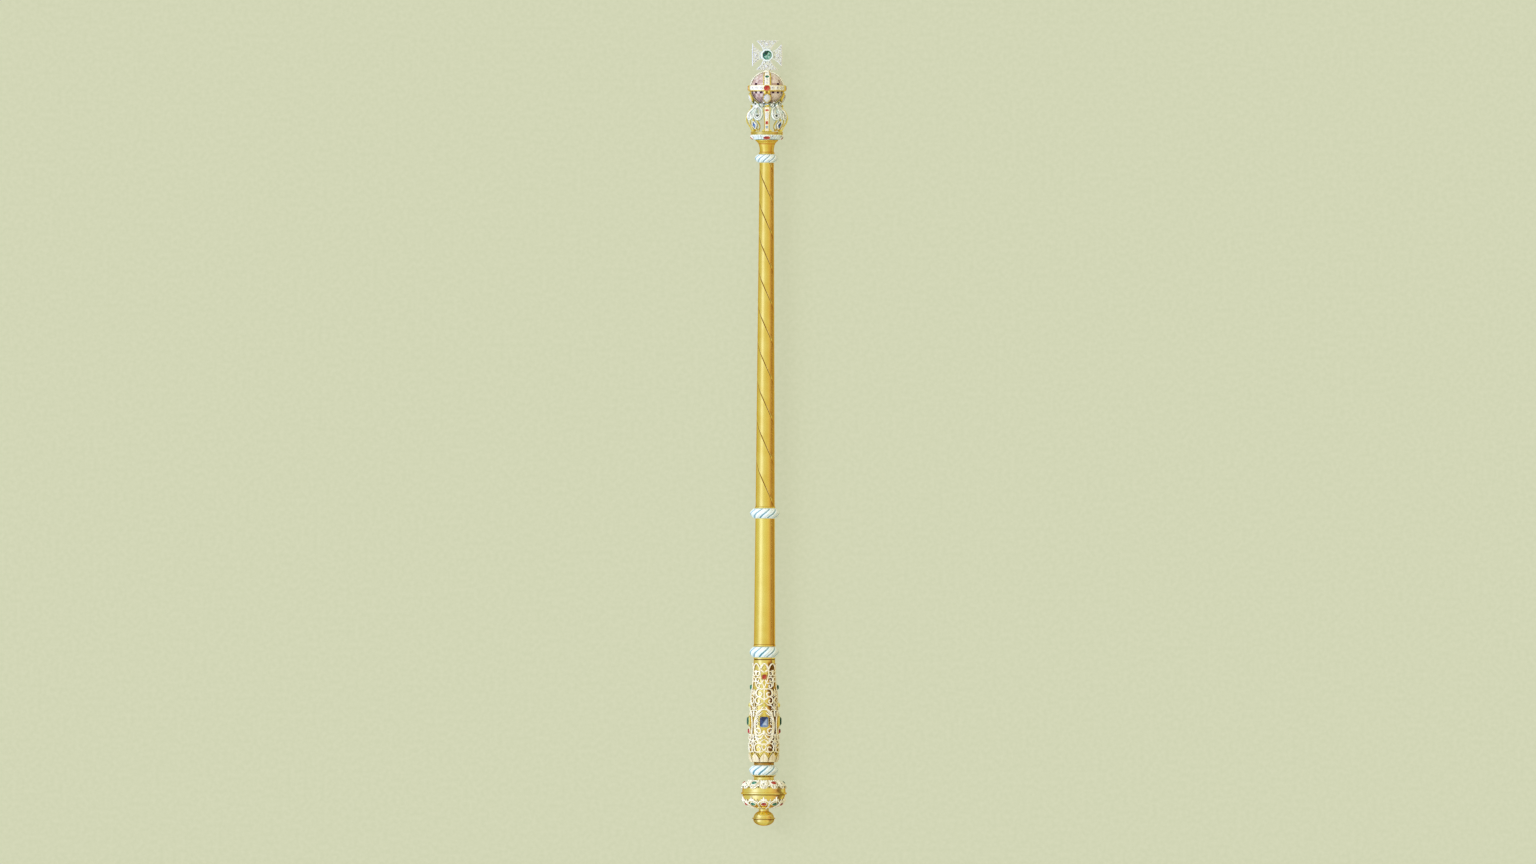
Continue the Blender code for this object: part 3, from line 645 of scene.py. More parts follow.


# orange-brown where the painted shade begins, down one side of the rods and of the grip's ground
ROD_SHADE_COLOUR = (0.76, 0.35, 0.06)
GRIP_SHADE_COLOUR = (0.74, 0.40, 0.09)
MATERIALS = {
    "gold": gold("polished_gold", (0.95, 0.74, 0.17), (0.90, 0.66, 0.12), (0.26, 0.11, 0.02)),
    "bright_gold": gold("bright_gold", (0.98, 0.80, 0.24), (0.94, 0.72, 0.16), (0.34, 0.16, 0.03), 0.3),
    "rod_gold": gold("rod_gold", (0.95, 0.74, 0.19), (0.90, 0.66, 0.14), (0.22, 0.09, 0.02), shade_colour=ROD_SHADE_COLOUR),
    # its dark orange fills the capital's joint lines and its painted shade
    "joint_and_shade_gold": gold("joint_and_shade_gold", (0.95, 0.74, 0.19), (0.90, 0.66, 0.12), (0.70, 0.32, 0.05)),
    "burnished": gold("burnished_gold", (0.985, 0.835, 0.285), (0.945, 0.74, 0.20), (0.26, 0.11, 0.02), 0.13),
    "chased": gold(
        "chased_gold", (0.98, 0.82, 0.27), (0.90, 0.68, 0.14), (0.085, 0.034, 0.010), 0.12, True, GRIP_SHADE_COLOUR
    ),
    "white": enamel("white_enamel", (0.97, 0.96, 0.90), (0.92, 0.93, 0.84), (0.27, 0.34, 0.32)),
    "worn_white": enamel("worn_enamel", (0.98, 0.96, 0.86), (0.88, 0.78, 0.50), (0.34, 0.22, 0.08)),
    "ivory": enamel("ivory_enamel", (0.99, 0.97, 0.84), (0.95, 0.92, 0.74), (0.60, 0.50, 0.28)),
    "blush": enamel("blush_enamel", (0.88, 0.80, 0.54), (0.79, 0.67, 0.41), (0.38, 0.22, 0.09)),
    "leaf": enamel("leaf_enamel", (0.92, 0.97, 0.95), (0.80, 0.92, 0.93), (0.09, 0.35, 0.47)),
    "mint": enamel("mint_enamel", (0.84, 0.94, 0.86), (0.72, 0.88, 0.80), (0.06, 0.24, 0.18)),
    "cream": enamel("cream_enamel", (0.96, 0.89, 0.64), (0.90, 0.83, 0.56), (0.34, 0.26, 0.10)),
    "dot": enamel("dark_enamel", (0.03, 0.04, 0.03), (0.02, 0.06, 0.03), (0.01, 0.01, 0.01)),
    "green_dot": enamel("green_enamel", (0.10, 0.26, 0.06), (0.16, 0.34, 0.08), (0.03, 0.10, 0.02)),
    "silver": silver("aged_silver"),
    "ruby": gem("ruby_stone", (0.74, 0.04, 0.02), (0.98, 0.33, 0.20), (0.26, 0.006, 0.008), 1.77, gloss=0.12),
    "emerald": gem("emerald_stone", (0.03, 0.33, 0.18), (0.62, 0.94, 0.79), (0.003, 0.06, 0.035), 1.58),
    "sapphire": gem(
        "sapphire_stone", (0.07, 0.24, 0.66), (0.68, 0.82, 0.98), (0.005, 0.02, 0.13), 1.77, gloss=0.2
    ),
    "sapphire_pale": gem(
        "pale_sapphire_stone", (0.45, 0.66, 0.84), (0.80, 0.90, 0.96), (0.12, 0.28, 0.48), 1.77
    ),
    "diamond": gem("diamond_stone", (0.95, 0.96, 0.93), (1.0, 1.0, 0.97), (0.10, 0.12, 0.13), 2.2, 0.3),
    "amethyst": gem(
        "amethyst_stone", (0.62, 0.42, 0.37), (0.95, 0.82, 0.74), (0.06, 0.01, 0.05), 1.55, 0.15, 0.15
    ),
}


def make_piece(name, shape, finishes, nodes=(), smooth=32, fit=UNFITTED):
    """Welds a shape into a piece of the sceptre, laid down in the row frame, in place of those nodes."""
    mesh = bpy.data.meshes.new(name)
    mesh.from_pydata(shape.points, [], shape.faces)
    mesh.polygons.foreach_set("material_index", shape.finishes)
    mesh.attributes.new("tone", "FLOAT", "CORNER").data.foreach_set("value", shape.tones)
    welded = bmesh.new()
    welded.from_mesh(mesh)
    bmesh.ops.remove_doubles(welded, verts=welded.verts, dist=1e-7)
    bmesh.ops.recalc_face_normals(welded, faces=welded.faces)
    bmesh.ops.transform(welded, matrix=AXIS @ fit, verts=welded.verts)
    floor = cad_bounds[0].z + 1e-5
    for vertex in welded.verts:
        vertex.co.z = max(vertex.co.z, floor)
    welded.to_mesh(mesh)
    welded.free()
    if smooth:
        mesh.shade_smooth()
        mesh.set_sharp_from_angle(angle=math.radians(smooth))
    for finish in finishes:
        mesh.materials.append(MATERIALS[finish])
    obj = bpy.data.objects.new(name, mesh)
    bpy.context.scene.collection.objects.link(obj)
    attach(obj, "root")
    if nodes:
        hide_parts(*nodes)
    return obj


def turned_piece(name, profile, finish, node, steps=96, rule=None, fit=UNFITTED):
    shape = Shape()
    turn(shape, profile, steps, rule=rule)
    make_piece(name, shape, [finish], [node], fit=fit)


def gem_piece(name, kind, cut, *sizes, nodes=(), fit=UNFITTED, **looks):
    """A stone as a piece of its own; cut is the function that shapes it."""
    shape = Shape()
    cut(shape, *sizes, **looks)
    make_piece(name, shape, [kind], nodes, 0, fit)


# Foot: the small ball and the pommel


def make_finial():
    foot, top = span("finial_ball")
    wide = reach("finial_ball")
    belt = foot + 0.0078
    # painted shade: a darker stripe at the same angles on each half turn, deeper under the belt
    over, under = painted_shade(0.46, 34, 14, 150, 14), painted_shade(0.58, 20, 14, 150, 14)

    def shaded(angle, height, radius, tone):
        return (over if height > belt else under)(angle, height, radius, tone)

    profile = [
        *arc(belt - 0.0009, belt - 0.0009 - foot, wide * 0.90, -90, -8, 20),
        (wide * 0.895, belt - 0.0008, 0.9),
        (wide * 0.905, belt - 0.0003, 0.9),
        *bulge(wide, belt + 0.0003, 0.0006, -60, 84, 8),
        (wide * 0.88, belt + 0.0010, 0.3),
        *arc(belt + 0.0010, 0.0080, wide * 0.875, 4, 60, 14),
        *soften([(0.0054, 0.0168, 0.3), (0.0053, 0.0174, 0.6), (0.0056, top)]),
        (0, top),
    ]
    turned_piece("finial_turned", profile, "burnished", "finial_ball", rule=shaded)


# The pommel lies on a flat of its belt, so it is a little less deep than it is wide
POMMEL_FIT = Matrix.Diagonal((1, math.cos(math.pi / 18) - 0.0004, 1, 1))
POMMEL_POWER = 2 / 2.6  # squareness of the pommel's rounded body
UPPER_BODY = (0.0233, 0.0364, 0.0120)  # radius, middle height and half height
LOWER_BODY = (0.0228, 0.0334, 0.0138)
UPPER_MOUNT = (
    (0.0396, 0.02405), (0.0420, 0.0238), (0.0440, 0.0226),
    (0.0462, 0.0206), (0.0480, 0.0184), (0.0490, 0.0168),
)  # fmt: skip
SPOOL = (
    (12.6, 47.8, 0.3), (11.5, 48.8, 0.7), (11.3, 49.2, 0.7), (10.9, 49.8, 0.35), (10.4, 51.2, 0.28),
    (10.6, 52.4, 0.28), (11.6, 53.4, 0.35), (12.8, 53.9, 0.2),
)  # fmt: skip


def pommel_arc(body, sign, start, end, count):
    radius, middle, half = body
    points = []
    for degrees in spaced(start, end, count):
        a = math.radians(degrees)
        out, rise = math.cos(a) ** POMMEL_POWER, math.sin(a) ** POMMEL_POWER
        points.append((radius * out, middle + sign * half * rise))
    return points


def pommel_radius(height):
    """The radius of the pommel's body under its lower mount."""
    radius, middle, half = LOWER_BODY
    rise = min(0.999, max(0, (middle - height) / half))
    return radius * math.sqrt(1 - rise ** (2 / POMMEL_POWER)) ** POMMEL_POWER


def make_pommel():
    foot, top = span("pommel")
    low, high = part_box("pommel")
    wide = (high.x - low.x) / 2 - 0.00002
    belt = (UPPER_BODY[1] + LOWER_BODY[1]) / 2
    profile = [
        (0, foot),
        *lifted([(5.8, 0), (6.8, 0.4), (7.4, 1.0)], foot),
        *pommel_arc(LOWER_BODY, -1, 78, 3, 26),
        *lifted([(22.6, -1.6, 0.8), (23.0, -1.2, 1.0), (24.0, -1.0, 0.7)], belt),
        *bulge(wide, belt + 0.0001, 0.0011, -60, 100, 11),
        *lifted([(23.4, 1.3, 0.3), (23.3, 1.6, 0.2)], belt),
        *pommel_arc(UPPER_BODY, 1, 4, 62, 22),
        *soften([*lifted(SPOOL, 0), (0.0129, top)], 0.0004),
        (0, top),
    ]
    # painted shade: a darker stripe with a wavy edge at the same angles on each half turn, between two
    # heights of the body
    shaded = painted_shade(0.74, 37, 5, 62, 6, (0.0200, 0.003, 0.0440, 0.002), (4, 700))
    turned_piece("pommel_body", profile, "burnished", "pommel", 144, shaded, fit=POMMEL_FIT)


def upper_mount_radius(height):
    return along(UPPER_MOUNT, height) - 0.0002


def make_upper_mount():
    """A white wreath over the shoulder of the pommel: drooping leaves, pearls and six stones."""
    shape = Shape()
    leaves = 12
    low, high = 0.0398, 0.0490
    outer = [(upper_mount_radius(h), h) for h in spaced(low, high, 15)]
    inner = [(r - 0.0008, h - 0.0001) for r, h in outer]
    inner[-1] = (0.0128, 0.0489)

    def droop(angle, height, radius, tone):
        wave = abs(math.cos(angle * leaves / 2))
        fringe = abs(math.cos(angle * leaves * 2.5))
        edge = low + 0.0058 * (1 - wave**0.55) + 0.0009 * (1 - fringe) * wave
        share = (height - low) / (high - low)
        placed = edge + (high - edge) * share
        far = upper_mount_radius(placed) - (upper_mount_radius(height) - radius)
        rib = 0.5 * math.exp(-(((1 - wave) / 0.01) ** 2)) * (1 - share)
        curl = 0.0005 * wave * max(0.0, 0.35 - share)
        hollow = 0.0010 * (1 - wave) + 0.0002 * (1 - fringe)
        shade = max(rib, min(0.85, 1.1 * (1 - wave) ** 1.7), 0.22 * (1 - fringe))
        return angle, placed, far - hollow + curl, shade

    def spot(angle, height, lift, slope):
        return on(upper_mount_radius, angle, height, lift, slope)

    def leaf(path, width):
        path = curve(path, 10)
        strip(shape, upper_mount_radius, middle, path, width, 0.0006, (0.3, 0.2), LEAF, lift=0.0002)

    turn(shape, outer + inner[::-1], leaves * 30, rule=droop, ring=True)
    for angle in circle(36):
        bead(shape, facing(angle, 0.0486, 0.0166, math.radians(60)), 0.00085, SECOND)
    for i, middle in enumerate(circle(leaves)):
        between = middle + TAU / leaves / 2
        for side in (-1, 1):
            leaf([(side * 0.0006, 0.0456), (side * 0.0022, 0.0444), (side * 0.0030, 0.0426)], 0.0018)
            bead(shape, spot(middle + side * 0.075, 0.0421, 0.0002, 25), 0.00050, THIRD)
        leaf([(0, 0.0440), (0, 0.0420), (0, 0.0402)], 0.0022)
        bead(shape, spot(between, 0.0436, -0.0004, 38), 0.0010)
        bead(shape, spot(between, 0.0420, -0.0004, 25), 0.0006, THIRD)
        if i % 2 == 0:
            for a in circle(5):
                across, up = 0.0017 * math.sin(a) / 0.0215, 0.0014 * math.cos(a)
                bead(shape, spot(middle + across, 0.0454 + up, 0.0002, 42), 0.0010, SECOND, flat=0.7)
            bead(shape, spot(middle, 0.0454, 0.0007, 42), 0.0006, THIRD)
    for i, angle in enumerate(circle(6, 0.5)):
        place = spot(angle, 0.0462, 0.0006, 48)
        kind = "emerald" if i % 2 else "ruby"
        collet(shape, place, oval(0.0064, 0.0046, 20), 0.0004, 0.0012, finish=SECOND)
        name = f"pommel_upper_{kind}_{i}"
        looks = {"base": 0.58, "contrast": 0.35, "fit": POMMEL_FIT}
        gem_piece(name, kind, brilliant, place, 0.0064, 0.0046, 0.0014, **looks)
    finishes = ["ivory", "ivory", "dot"]
    make_piece("pommel_upper_wreath", shape, finishes, ["pommel_upper_mount"], fit=POMMEL_FIT)


def make_lower_mount():
    """An openwork cup of white straps, arches and lilies under the pommel, with ten stones."""
    shape = Shape()
    stones = 10
    half = math.pi / stones
    width = half * 0.0205
    rim = ((7.8, 19.1), (9.2, 19.0), (9.8, 19.6), (10.0, 20.3), (9.2, 20.6), (8.0, 20.4))
    turn(shape, lifted(rim, 0), 80, SECOND, ring=True)

    def lay(path, count, *sizes, angle=0.0):
        strip(shape, pommel_radius, middle + angle, curve(path, count), *sizes, lift=0.0008)

    for i, middle in enumerate(circle(stones)):
        strap = [(0, 0.0197), (0, 0.0225), (0, 0.0262), (0, 0.0290)]
        lay(strap, 16, 0.0021, 0.0008, (0.55, 0.25), LEAF, angle=half)
        for side in (-1, 1):
            arch = [(side * width, 0.0248), (side * width * 0.62, 0.0268), (side * 0.0007, 0.0276)]
            lay(arch, 12, 0.0015, 0.0008, (0.4, 0.6))
            petal = [(side * 0.0004, 0.0274), (side * 0.0022, 0.0286), (side * 0.0032, 0.0279)]
            lay(petal, 10, 0.0017, 0.0008, (0.5, 0.2))
        lay([(0, 0.0270), (0, 0.0290), (0, 0.0316)], 12, 0.0026, 0.0010, (0.5, 0.12, 0.4), RIDGE)
        place = on(pommel_radius, middle, 0.0237, 0.0010, -45)
        kind = "emerald" if i % 2 else "ruby"
        collet(shape, place, oval(0.0060, 0.0044, 20), 0.0003, 0.0012)
        name = f"pommel_lower_{kind}_{i}"
        looks = {"base": 0.5, "contrast": 0.4, "fit": POMMEL_FIT}
        gem_piece(name, kind, brilliant, place, 0.0060, 0.0044, 0.0013, **looks)
    finishes = ["ivory", "bright_gold"]
    make_piece("pommel_lower_cup", shape, finishes, ["pommel_lower_mount"], fit=POMMEL_FIT)


def make_collar(node, leaves=10):
    """A collar of slanting enamelled leaves, each pale over its ridge and teal down to its lower edge: a
    painted shade, deeper towards the collar's foot.
    """
    foot, top = span(node)
    wide = reach(node) - 0.0001
    middle, half = (foot + top) / 2, (top - foot) / 2
    end = wide * 0.80
    profile = [(0, foot)]
    for share in spaced(-1, 1, 27):
        profile.append((end + (wide - end) * (1 - abs(share) ** 1.6), middle + half * share))
    profile.append((0, top))
    pitch = TAU / leaves
    strengths = [RANDOM.uniform(0.5, 1.0) for _ in range(leaves)]

    def slant(angle, height, radius, tone):
        share = (height - middle) / half
        strength = strengths[int(angle / pitch) % leaves]
        u = (angle / pitch) % 1 * 2 - 1  # across one leaf, from groove to groove
        edge = abs(u) ** 6
        vein = math.exp(-(((u - 0.18) / 0.12) ** 2))
        depth = 0.0013 * edge + 0.0004 * vein
        # painted shade in teal over one side of each leaf, deeper low down
        shade = ramp(u, 0.34, 0.70) * (0.88 - 0.32 * share) * strength
        line = 0.75 * vein * max(0.0, 0.75 - share) * (1.3 - strength)
        far = radius - depth * (1 - 0.4 * abs(share))
        return angle + share * pitch * 0.62, height, far, max(edge, shade, line)

    turned_piece(node + "_leaves", profile, "leaf", node, leaves * 28, slant)


# Grip

GRIP_SURFACE = (
    (0.0684, 0.0136), (0.0696, 0.0138), (0.0760, 0.0148), (0.0900, 0.0155), (0.1120, 0.0156),
    (0.1330, 0.0137), (0.1600, 0.0119), (0.1720, 0.0114), (0.1808, 0.0116),
)  # fmt: skip
GRIP_SAPPHIRE_GLINTS = (0.25, 0.15, 0.0, 0.05, 0.45, 0.8, 1.0, 0.9)  # painted glints and shade of its table's facets, from the upper right, clockwise


def grip_radius(height):
    return along(GRIP_SURFACE, height)


def sleeve_radius(height):
    """Where the scrolls lie, a little off the grip's core."""
    return grip_radius(height) + 0.0009


def make_grip_core():
    """The gold tube under the scrolls, its ground darkened down one side of each face by painted shade."""
    foot, top = span("grip_core")
    neck = lifted([(10.4, 0, 0.5), (10.8, 0.6, 0.4), (10.6, 1.8, 0.5), (10.8, 2.8, 0.9)], foot)
    head = lifted([(11.5, 178.0), (11.3, 178.6, 1.0), (11.1, 179.0, 1.0), (11.4, 179.6), (11.7, 180.2)], 0)
    profile = [
        (0, foot),
        *soften([*neck, (0.0112, 0.0684, 1.0)]),
        *[(grip_radius(height), height, 0.05) for height in spaced(0.0686, 0.1776, 60)],
        *soften([*head, (0.0116, top)]),
        (0, top),
    ]
    shaded = painted_shade(0.80, 14, 12, 66, 16, (0.072, 0.004, 0.1775, 0.004), (5, 400))
    turned_piece("grip_gold_core", profile, "chased", "grip_core", 120, shaded)


def make_grip_stones():
    """Three stones on each side and two in front and behind, each with its collet and its claws."""
    sapphire = {"table": 0.62, "step": 0.86, "base": 0.62, "contrast": 0.75, "top": GRIP_SAPPHIRE_GLINTS}
    main = (
        ("grip_ruby", "ruby", 0.1602, oval(0.0056, 0.0056, 20), 0.0018, {}),
        ("grip_sapphire", "sapphire", 0.1117, octagon(0.0094, 0.0114, 0.14), 0.0018, sapphire),
    )
    pale = {"base": 0.78, "contrast": 0.2}
    aside = (
        ("grip_emerald", "emerald", 0.1490, octagon(0.0046, 0.0058, 0.2), 0.0028, pale),
        ("grip_large_emerald", "emerald", 0.1126, octagon(0.0080, 0.0100, 0.18), 0.0026, pale),
        ("grip_low_ruby", "ruby", 0.1020, oval(0.0056, 0.0062, 20), 0.0030, {"base": 0.66, "contrast": 0.2}),
    )
    rims = Shape()
    for quarter, angle in QUARTERS.items():
        for name, kind, height, outline, depth, looks in main if quarter in ("front", "back") else aside:
            node = f"{name}_{quarter}"
            face = reach(node)
            place = facing(angle, height, face - depth)
            cut, sizes = stone, (outline, depth)
            if kind == "ruby":
                width, length = (2 * max(point[i] for point in outline) for i in (0, 1))
                cut, sizes = brilliant, (width, length, depth, 9)
            gem_piece(f"{node}_cut", kind, cut, place, *sizes, nodes=[node], **looks)
            collet(rims, place, outline, 0.0004, face - depth - grip_radius(height) + 0.0012)
            for a in circle(8 if kind == "ruby" else 4, 0.5):
                x, y = max(outline, key=lambda p: p[0] * math.sin(a) + p[1] * math.cos(a))
                bead(rims, place @ Matrix.Translation((x * 1.04, y * 1.04, 0.0003)), 0.0005)
    make_piece("grip_collets", rims, ["bright_gold"])


# Scrolls of the grip, in millimetres: where they lie; their points, across and up; the eye, the last size
# and the turns of the spiral that they end in; the number of points; the width; then, where they aren't the
# usual ones, how the ends taper, the height and the finish
BOTH, MAIN, ASIDE = None, True, False
FRAME = ((0.0, 125.4), (5.2, 124.0), (9.4, 118.0), (11.4, 108.0), (9.4, 95.6), (4.6, 89.0), (0.0, 87.2))
INNER_FRAME = [(x - 1.8, height) for x, height in FRAME[1:-1]]
QUARTER_SCROLLS = (
    (MAIN, ((4.6, 168.4), (4.7, 163.0), (3.4, 157.2), (1.0, 151.0), (0.1, 148.4)), None, 30, 1.4),
    (ASIDE, ((4.6, 168.4), (4.8, 158.0), (4.6, 150.0), (3.0, 145.5), (0.1, 141.9)), None, 30, 1.4),
    (BOTH, ((4.5, 167.2), (5.2, 165.8)), (7.0, 163.1, 0.8, -0.95), 28, 1.4),
    (BOTH, ((4.2, 160.8), (5.2, 159.2)), (7.4, 156.7, 0.8, -0.95), 28, 1.4),
    (BOTH, ((8.6, 167.6), (9.4, 166.0), (9.6, 164.0)), None, 8, 1.4, (0.3, 0.3)),
    (MAIN, ((2.2, 153.7), (4.0, 153.0)), (6.4, 150.5, 0.8, -1.0), 28, 1.4),
    (MAIN, ((0.0, 147.8), (2.2, 147.0)), (5.0, 142.2, 0.9, -1.15), 36, 1.6),
    (MAIN, ((0.6, 157.2), (1.8, 155.6), (2.2, 153.6)), None, 10, 1.5, (0.4, 0.2)),
    (MAIN, ((4.6, 168.2), (2.6, 166.8), (0.4, 165.2)), None, 12, 1.9, (0.4, 0.8)),
    (MAIN, ((1.0, 172.4), (2.8, 171.4), (3.2, 169.0)), None, 10, 1.7, (0.3, 0.3)),
    (ASIDE, ((0.2, 142.0), (2.2, 144.0)), (5.4, 142.8, 0.8, -0.9), 28, 1.4),
    (BOTH, ((0.0, 135.5), (3.0, 137.4)), (6.8, 134.3, 0.9, -1.1), 28, 1.6),
    (BOTH, ((8.4, 147.0), (9.8, 144.0), (10.0, 140.5)), None, 10, 1.6, (0.3, 0.3)),
    (BOTH, ((0.8, 133.0), (4.0, 130.4), (7.6, 129.8), (10.0, 127.4)), None, 16, 1.7, (0.3, 0.2)),
    (BOTH, FRAME, None, 44, 1.7, None, 0.8),
    (MAIN, INNER_FRAME, None, 34, 1.0, None, 0.6),
    (BOTH, ((1.6, 122.2), (4.6, 119.8), (6.4, 118.2)), None, 12, 1.5, (0.3, 0.5)),
    (BOTH, ((1.0, 120.2), (3.4, 118.8), (5.0, 118.2)), None, 12, 1.2, (0.3, 0.5), 0.7, SECOND),
    (MAIN, ((6.0, 116.7), (7.6, 116.5)), (7.8, 114.5, 0.6, -0.9), 16, 1.0),
    (MAIN, ((6.0, 112.2), (7.6, 112.0)), (7.8, 110.0, 0.6, -0.9), 16, 1.0),
    (MAIN, ((0.4, 100.4), (2.6, 98.8)), (6.4, 101.8, 1.1, 1.5), 44, 1.5),
    (MAIN, ((0.2, 99.0), (4.0, 93.8), (7.8, 95.0)), None, 16, 1.8, (0.5, 0.2)),
    (MAIN, ((0.0, 93.6), (3.6, 90.8), (6.6, 93.0)), None, 12, 1.4, (0.4, 0.3)),
    (MAIN, ((0.8, 95.4), (3.0, 92.2), (5.2, 91.6)), None, 12, 1.1, None, 0.7, SECOND),
    (ASIDE, ((0.6, 94.8), (3.4, 94.0)), (6.4, 96.2, 1.0, 1.1), 28, 1.5),
    (ASIDE, ((4.4, 106.2), (7.0, 104.0), (7.4, 100.0)), None, 12, 1.5, (0.3, 0.3)),
    (BOTH, ((0.4, 88.4), (2.6, 88.0)), (6.6, 83.2, 1.0, -1.3), 40, 1.5),
    (BOTH, ((0.0, 81.2), (2.8, 80.0), (5.2, 78.6)), None, 14, 1.5, (0.5, 0.3)),
)
CORNER_SCROLLS = (
    (BOTH, ((0.0, 117.6), (0.6, 119.6)), (2.7, 122.2, 0.7, -1.0), 22, 1.3),
    (BOTH, ((0.0, 125.0), (1.6, 127.0), (4.0, 126.2)), None, 10, 1.5, (0.4, 0.2)),
    (BOTH, ((0.0, 99.0), (0.8, 96.6)), (2.8, 94.0, 0.7, 1.0), 22, 1.3),
    (BOTH, ((0.0, 91.2), (2.4, 90.0), (3.4, 87.6)), None, 10, 1.4, (0.4, 0.3)),
    (BOTH, ((0.6, 139.2), (2.0, 141.0), (1.6, 144.0)), None, 10, 1.4, (0.3, 0.3)),
    (BOTH, ((0.0, 79.2), (2.0, 81.2), (2.0, 84.0)), None, 10, 1.4, (0.5, 0.3)),
)


def scroll(shape, middle, path, width, taper=None, height=0.0007, **looks):
    strip(shape, sleeve_radius, middle, path, width, height, taper, **looks)


def lay_scrolls(shape, middle, table, main=BOTH):
    """Lays a table's scrolls on both sides of a line up the grip."""
    for side in (1, -1):
        for where, points, spiral, count, width, *rest in table:
            if where not in (BOTH, main):
                continue
            taper, height, finish = (*rest, *(None, 0.7, 0)[len(rest) :])
            points = [(x / 1000, up / 1000) for x, up in points]
            if spiral is None:
                path = curve(points, count)
            else:
                x, up, size, turns = spiral
                path = volute(points, (x / 1000, up / 1000), size / 1000, turns, count)
            path = path if side > 0 else mirrored(path)
            scroll(shape, middle, path, width / 1000, taper, height / 1000, finish=finish)


def quarter_scrolls(shape, middle, main):
    """The enamelled scrolls of one quarter of the grip."""
    lay_scrolls(shape, middle, QUARTER_SCROLLS, main)
    stem = [(0, 0.1490 if main else 0.1425), (0, 0.1390), (0, 0.1330)]
    scroll(shape, middle, curve(stem, 18), 0.0015, (0.8, 0.5))
    ring = [(x, 0.0850 + up) for x, up in oval(0.0044, 0.0062, 40)]
    scroll(shape, middle, [Vector(point) for point in ring], 0.0013, closed=True)
    if main:
        bead(shape, on(sleeve_radius, middle, 0.1006, 0.0002) @ Matrix.Diagonal((1, 1.5, 1, 1)), 0.0017)
        bead(shape, on(sleeve_radius, middle, 0.1698) @ Matrix.Diagonal((1, 1.4, 1, 1)), 0.0018, SECOND)
    knop = on(sleeve_radius, middle, 0.1296, 0.0002) @ Matrix.Diagonal((1, 1.5, 1, 1))
    bead(shape, knop, 0.0016 if main else 0.0020, SECOND)
    for side in (-1, 1):
        bead(shape, on(sleeve_radius, middle + side * 0.0013 / 0.015, 0.1290, 0.0011), 0.0005, THIRD)
        flare = curve([(side * 0.0006, 0.1282), (side * 0.0022, 0.1270), (side * 0.0030, 0.1250)], 10)
        scroll(shape, middle, flare, 0.0017, (0.5, 0.3))


def corner_scrolls(shape, middle):
    """The scrolls that fill the spaces between two quarters' frames."""
    lay_scrolls(shape, middle, CORNER_SCROLLS)
    stems = (
        ((0.1250, 0.1290, 0.1330), 12, 0.0018, (0.4, 0.3), LEAF),
        ((0.0930, 0.0900, 0.0850), 12, 0.0016, (0.4, 0.4), ROUND),
        ((0.1500, 0.1530, 0.1560), 8, 0.0014, (0.4, 0.4), ROUND),
    )
    for heights, count, width, taper, section in stems:
        scroll(shape, middle, curve([(0, h) for h in heights], count), width, taper, section=section)


def make_grip_scrolls():
    """The pierced enamelled sleeve over the core: arches, scrolls, frames and a foot of petals."""
    shape = Shape()
    arches = 8
    places, outward = [], []
    for angle in circle(40 * arches):
        height = 0.1676 + 0.0068 * abs(math.cos(arches * angle / 2)) ** 0.62
        places.append(around(angle, height, sleeve_radius(height)))
        outward.append(around(angle, 0, 1))
    bar(shape, places, outward, 0.0014, 0.0008, closed=True)
    for quarter, middle in QUARTERS.items():
        quarter_scrolls(shape, middle, quarter in ("front", "back"))
        corner_scrolls(shape, middle + TAU / 8)
    make_petals(shape)
    finishes = ["worn_white", "bright_gold", "green_dot", "blush"]
    make_piece("grip_scrolls", shape, finishes, ["grip_scrollwork"])


def make_petals(shape, petals=10):
    """The foot of the sleeve: a ring of upright pointed petals with gold between them."""
    foot, shoulder, point, notch = 0.0688, 0.0702, 0.0788, 0.0708
    outer = [(grip_radius(height) + 0.0015, height) for height in spaced(foot, point, 15)]
    inner = [(radius - 0.0010, height) for radius, height in outer]

    def shape_petal(angle, height, radius, tone):
        u = (angle * petals / TAU + 0.5) % 1 * 2 - 1
        peak = max(0.0, 1 - abs(u)) ** 0.8
        share = max(0, (height - shoulder) / (point - shoulder))
        height = height if share == 0 else shoulder + share * (notch - shoulder + (point - notch) * peak)
        swell = 0.0006 * (1 - u * u) * math.sin(math.pi * min(1, (height - foot) / (point - foot)))
        rib = math.exp(-((u / 0.10) ** 2))
        tone = max(0.6 * rib * min(1, share * 2), 0.9 * abs(u) ** 4)
        return angle, height, radius + swell - 0.0003 * rib - 0.0006 * abs(u) ** 5, tone

    turn(shape, outer + inner[::-1], petals * 24, FOURTH, shape_petal, ring=True)
    half = TAU / petals / 2
    for middle in circle(petals):
        for side in (-1, 1):
            path = [(side * half * 0.0162, 0.0734), (side * 0.0026, 0.0774), (side * 0.0004, 0.0812)]
            scroll(shape, middle, curve(path, 12), 0.0012, (0.8, 0.5), finish=SECOND)
        bead(shape, on(sleeve_radius, middle + half, 0.0742, 0.0002), 0.0008, SECOND)


# Rod, capital and the jewelled ring over it

SPIRAL_LINES = 3
SPIRAL_START = -1.66  # where the first engraved line begins under the capital
SPIRAL_SLANT = 0.47  # how far it runs round for each length along
LINE_SECTION = (  # across the engraved line: place in half widths, depth and tone; the tone darkens its floor, and its left wall as a painted shade
    (-1.0, 0.0, 0.0), (-0.75, 0.00022, 1.0), (0.1, 0.00032, 1.0), (0.5, 0.00012, 0.1), (0.85, -0.00006, 0.0),
    (1.3, 0.0, 0.0),
)  # fmt: skip
# painted shade: an orange-brown stripe down the right side of both lengths of the rod
ROD_SHADE_RULE = painted_shade(0.5, 42, 9, 70, 10, period=360)


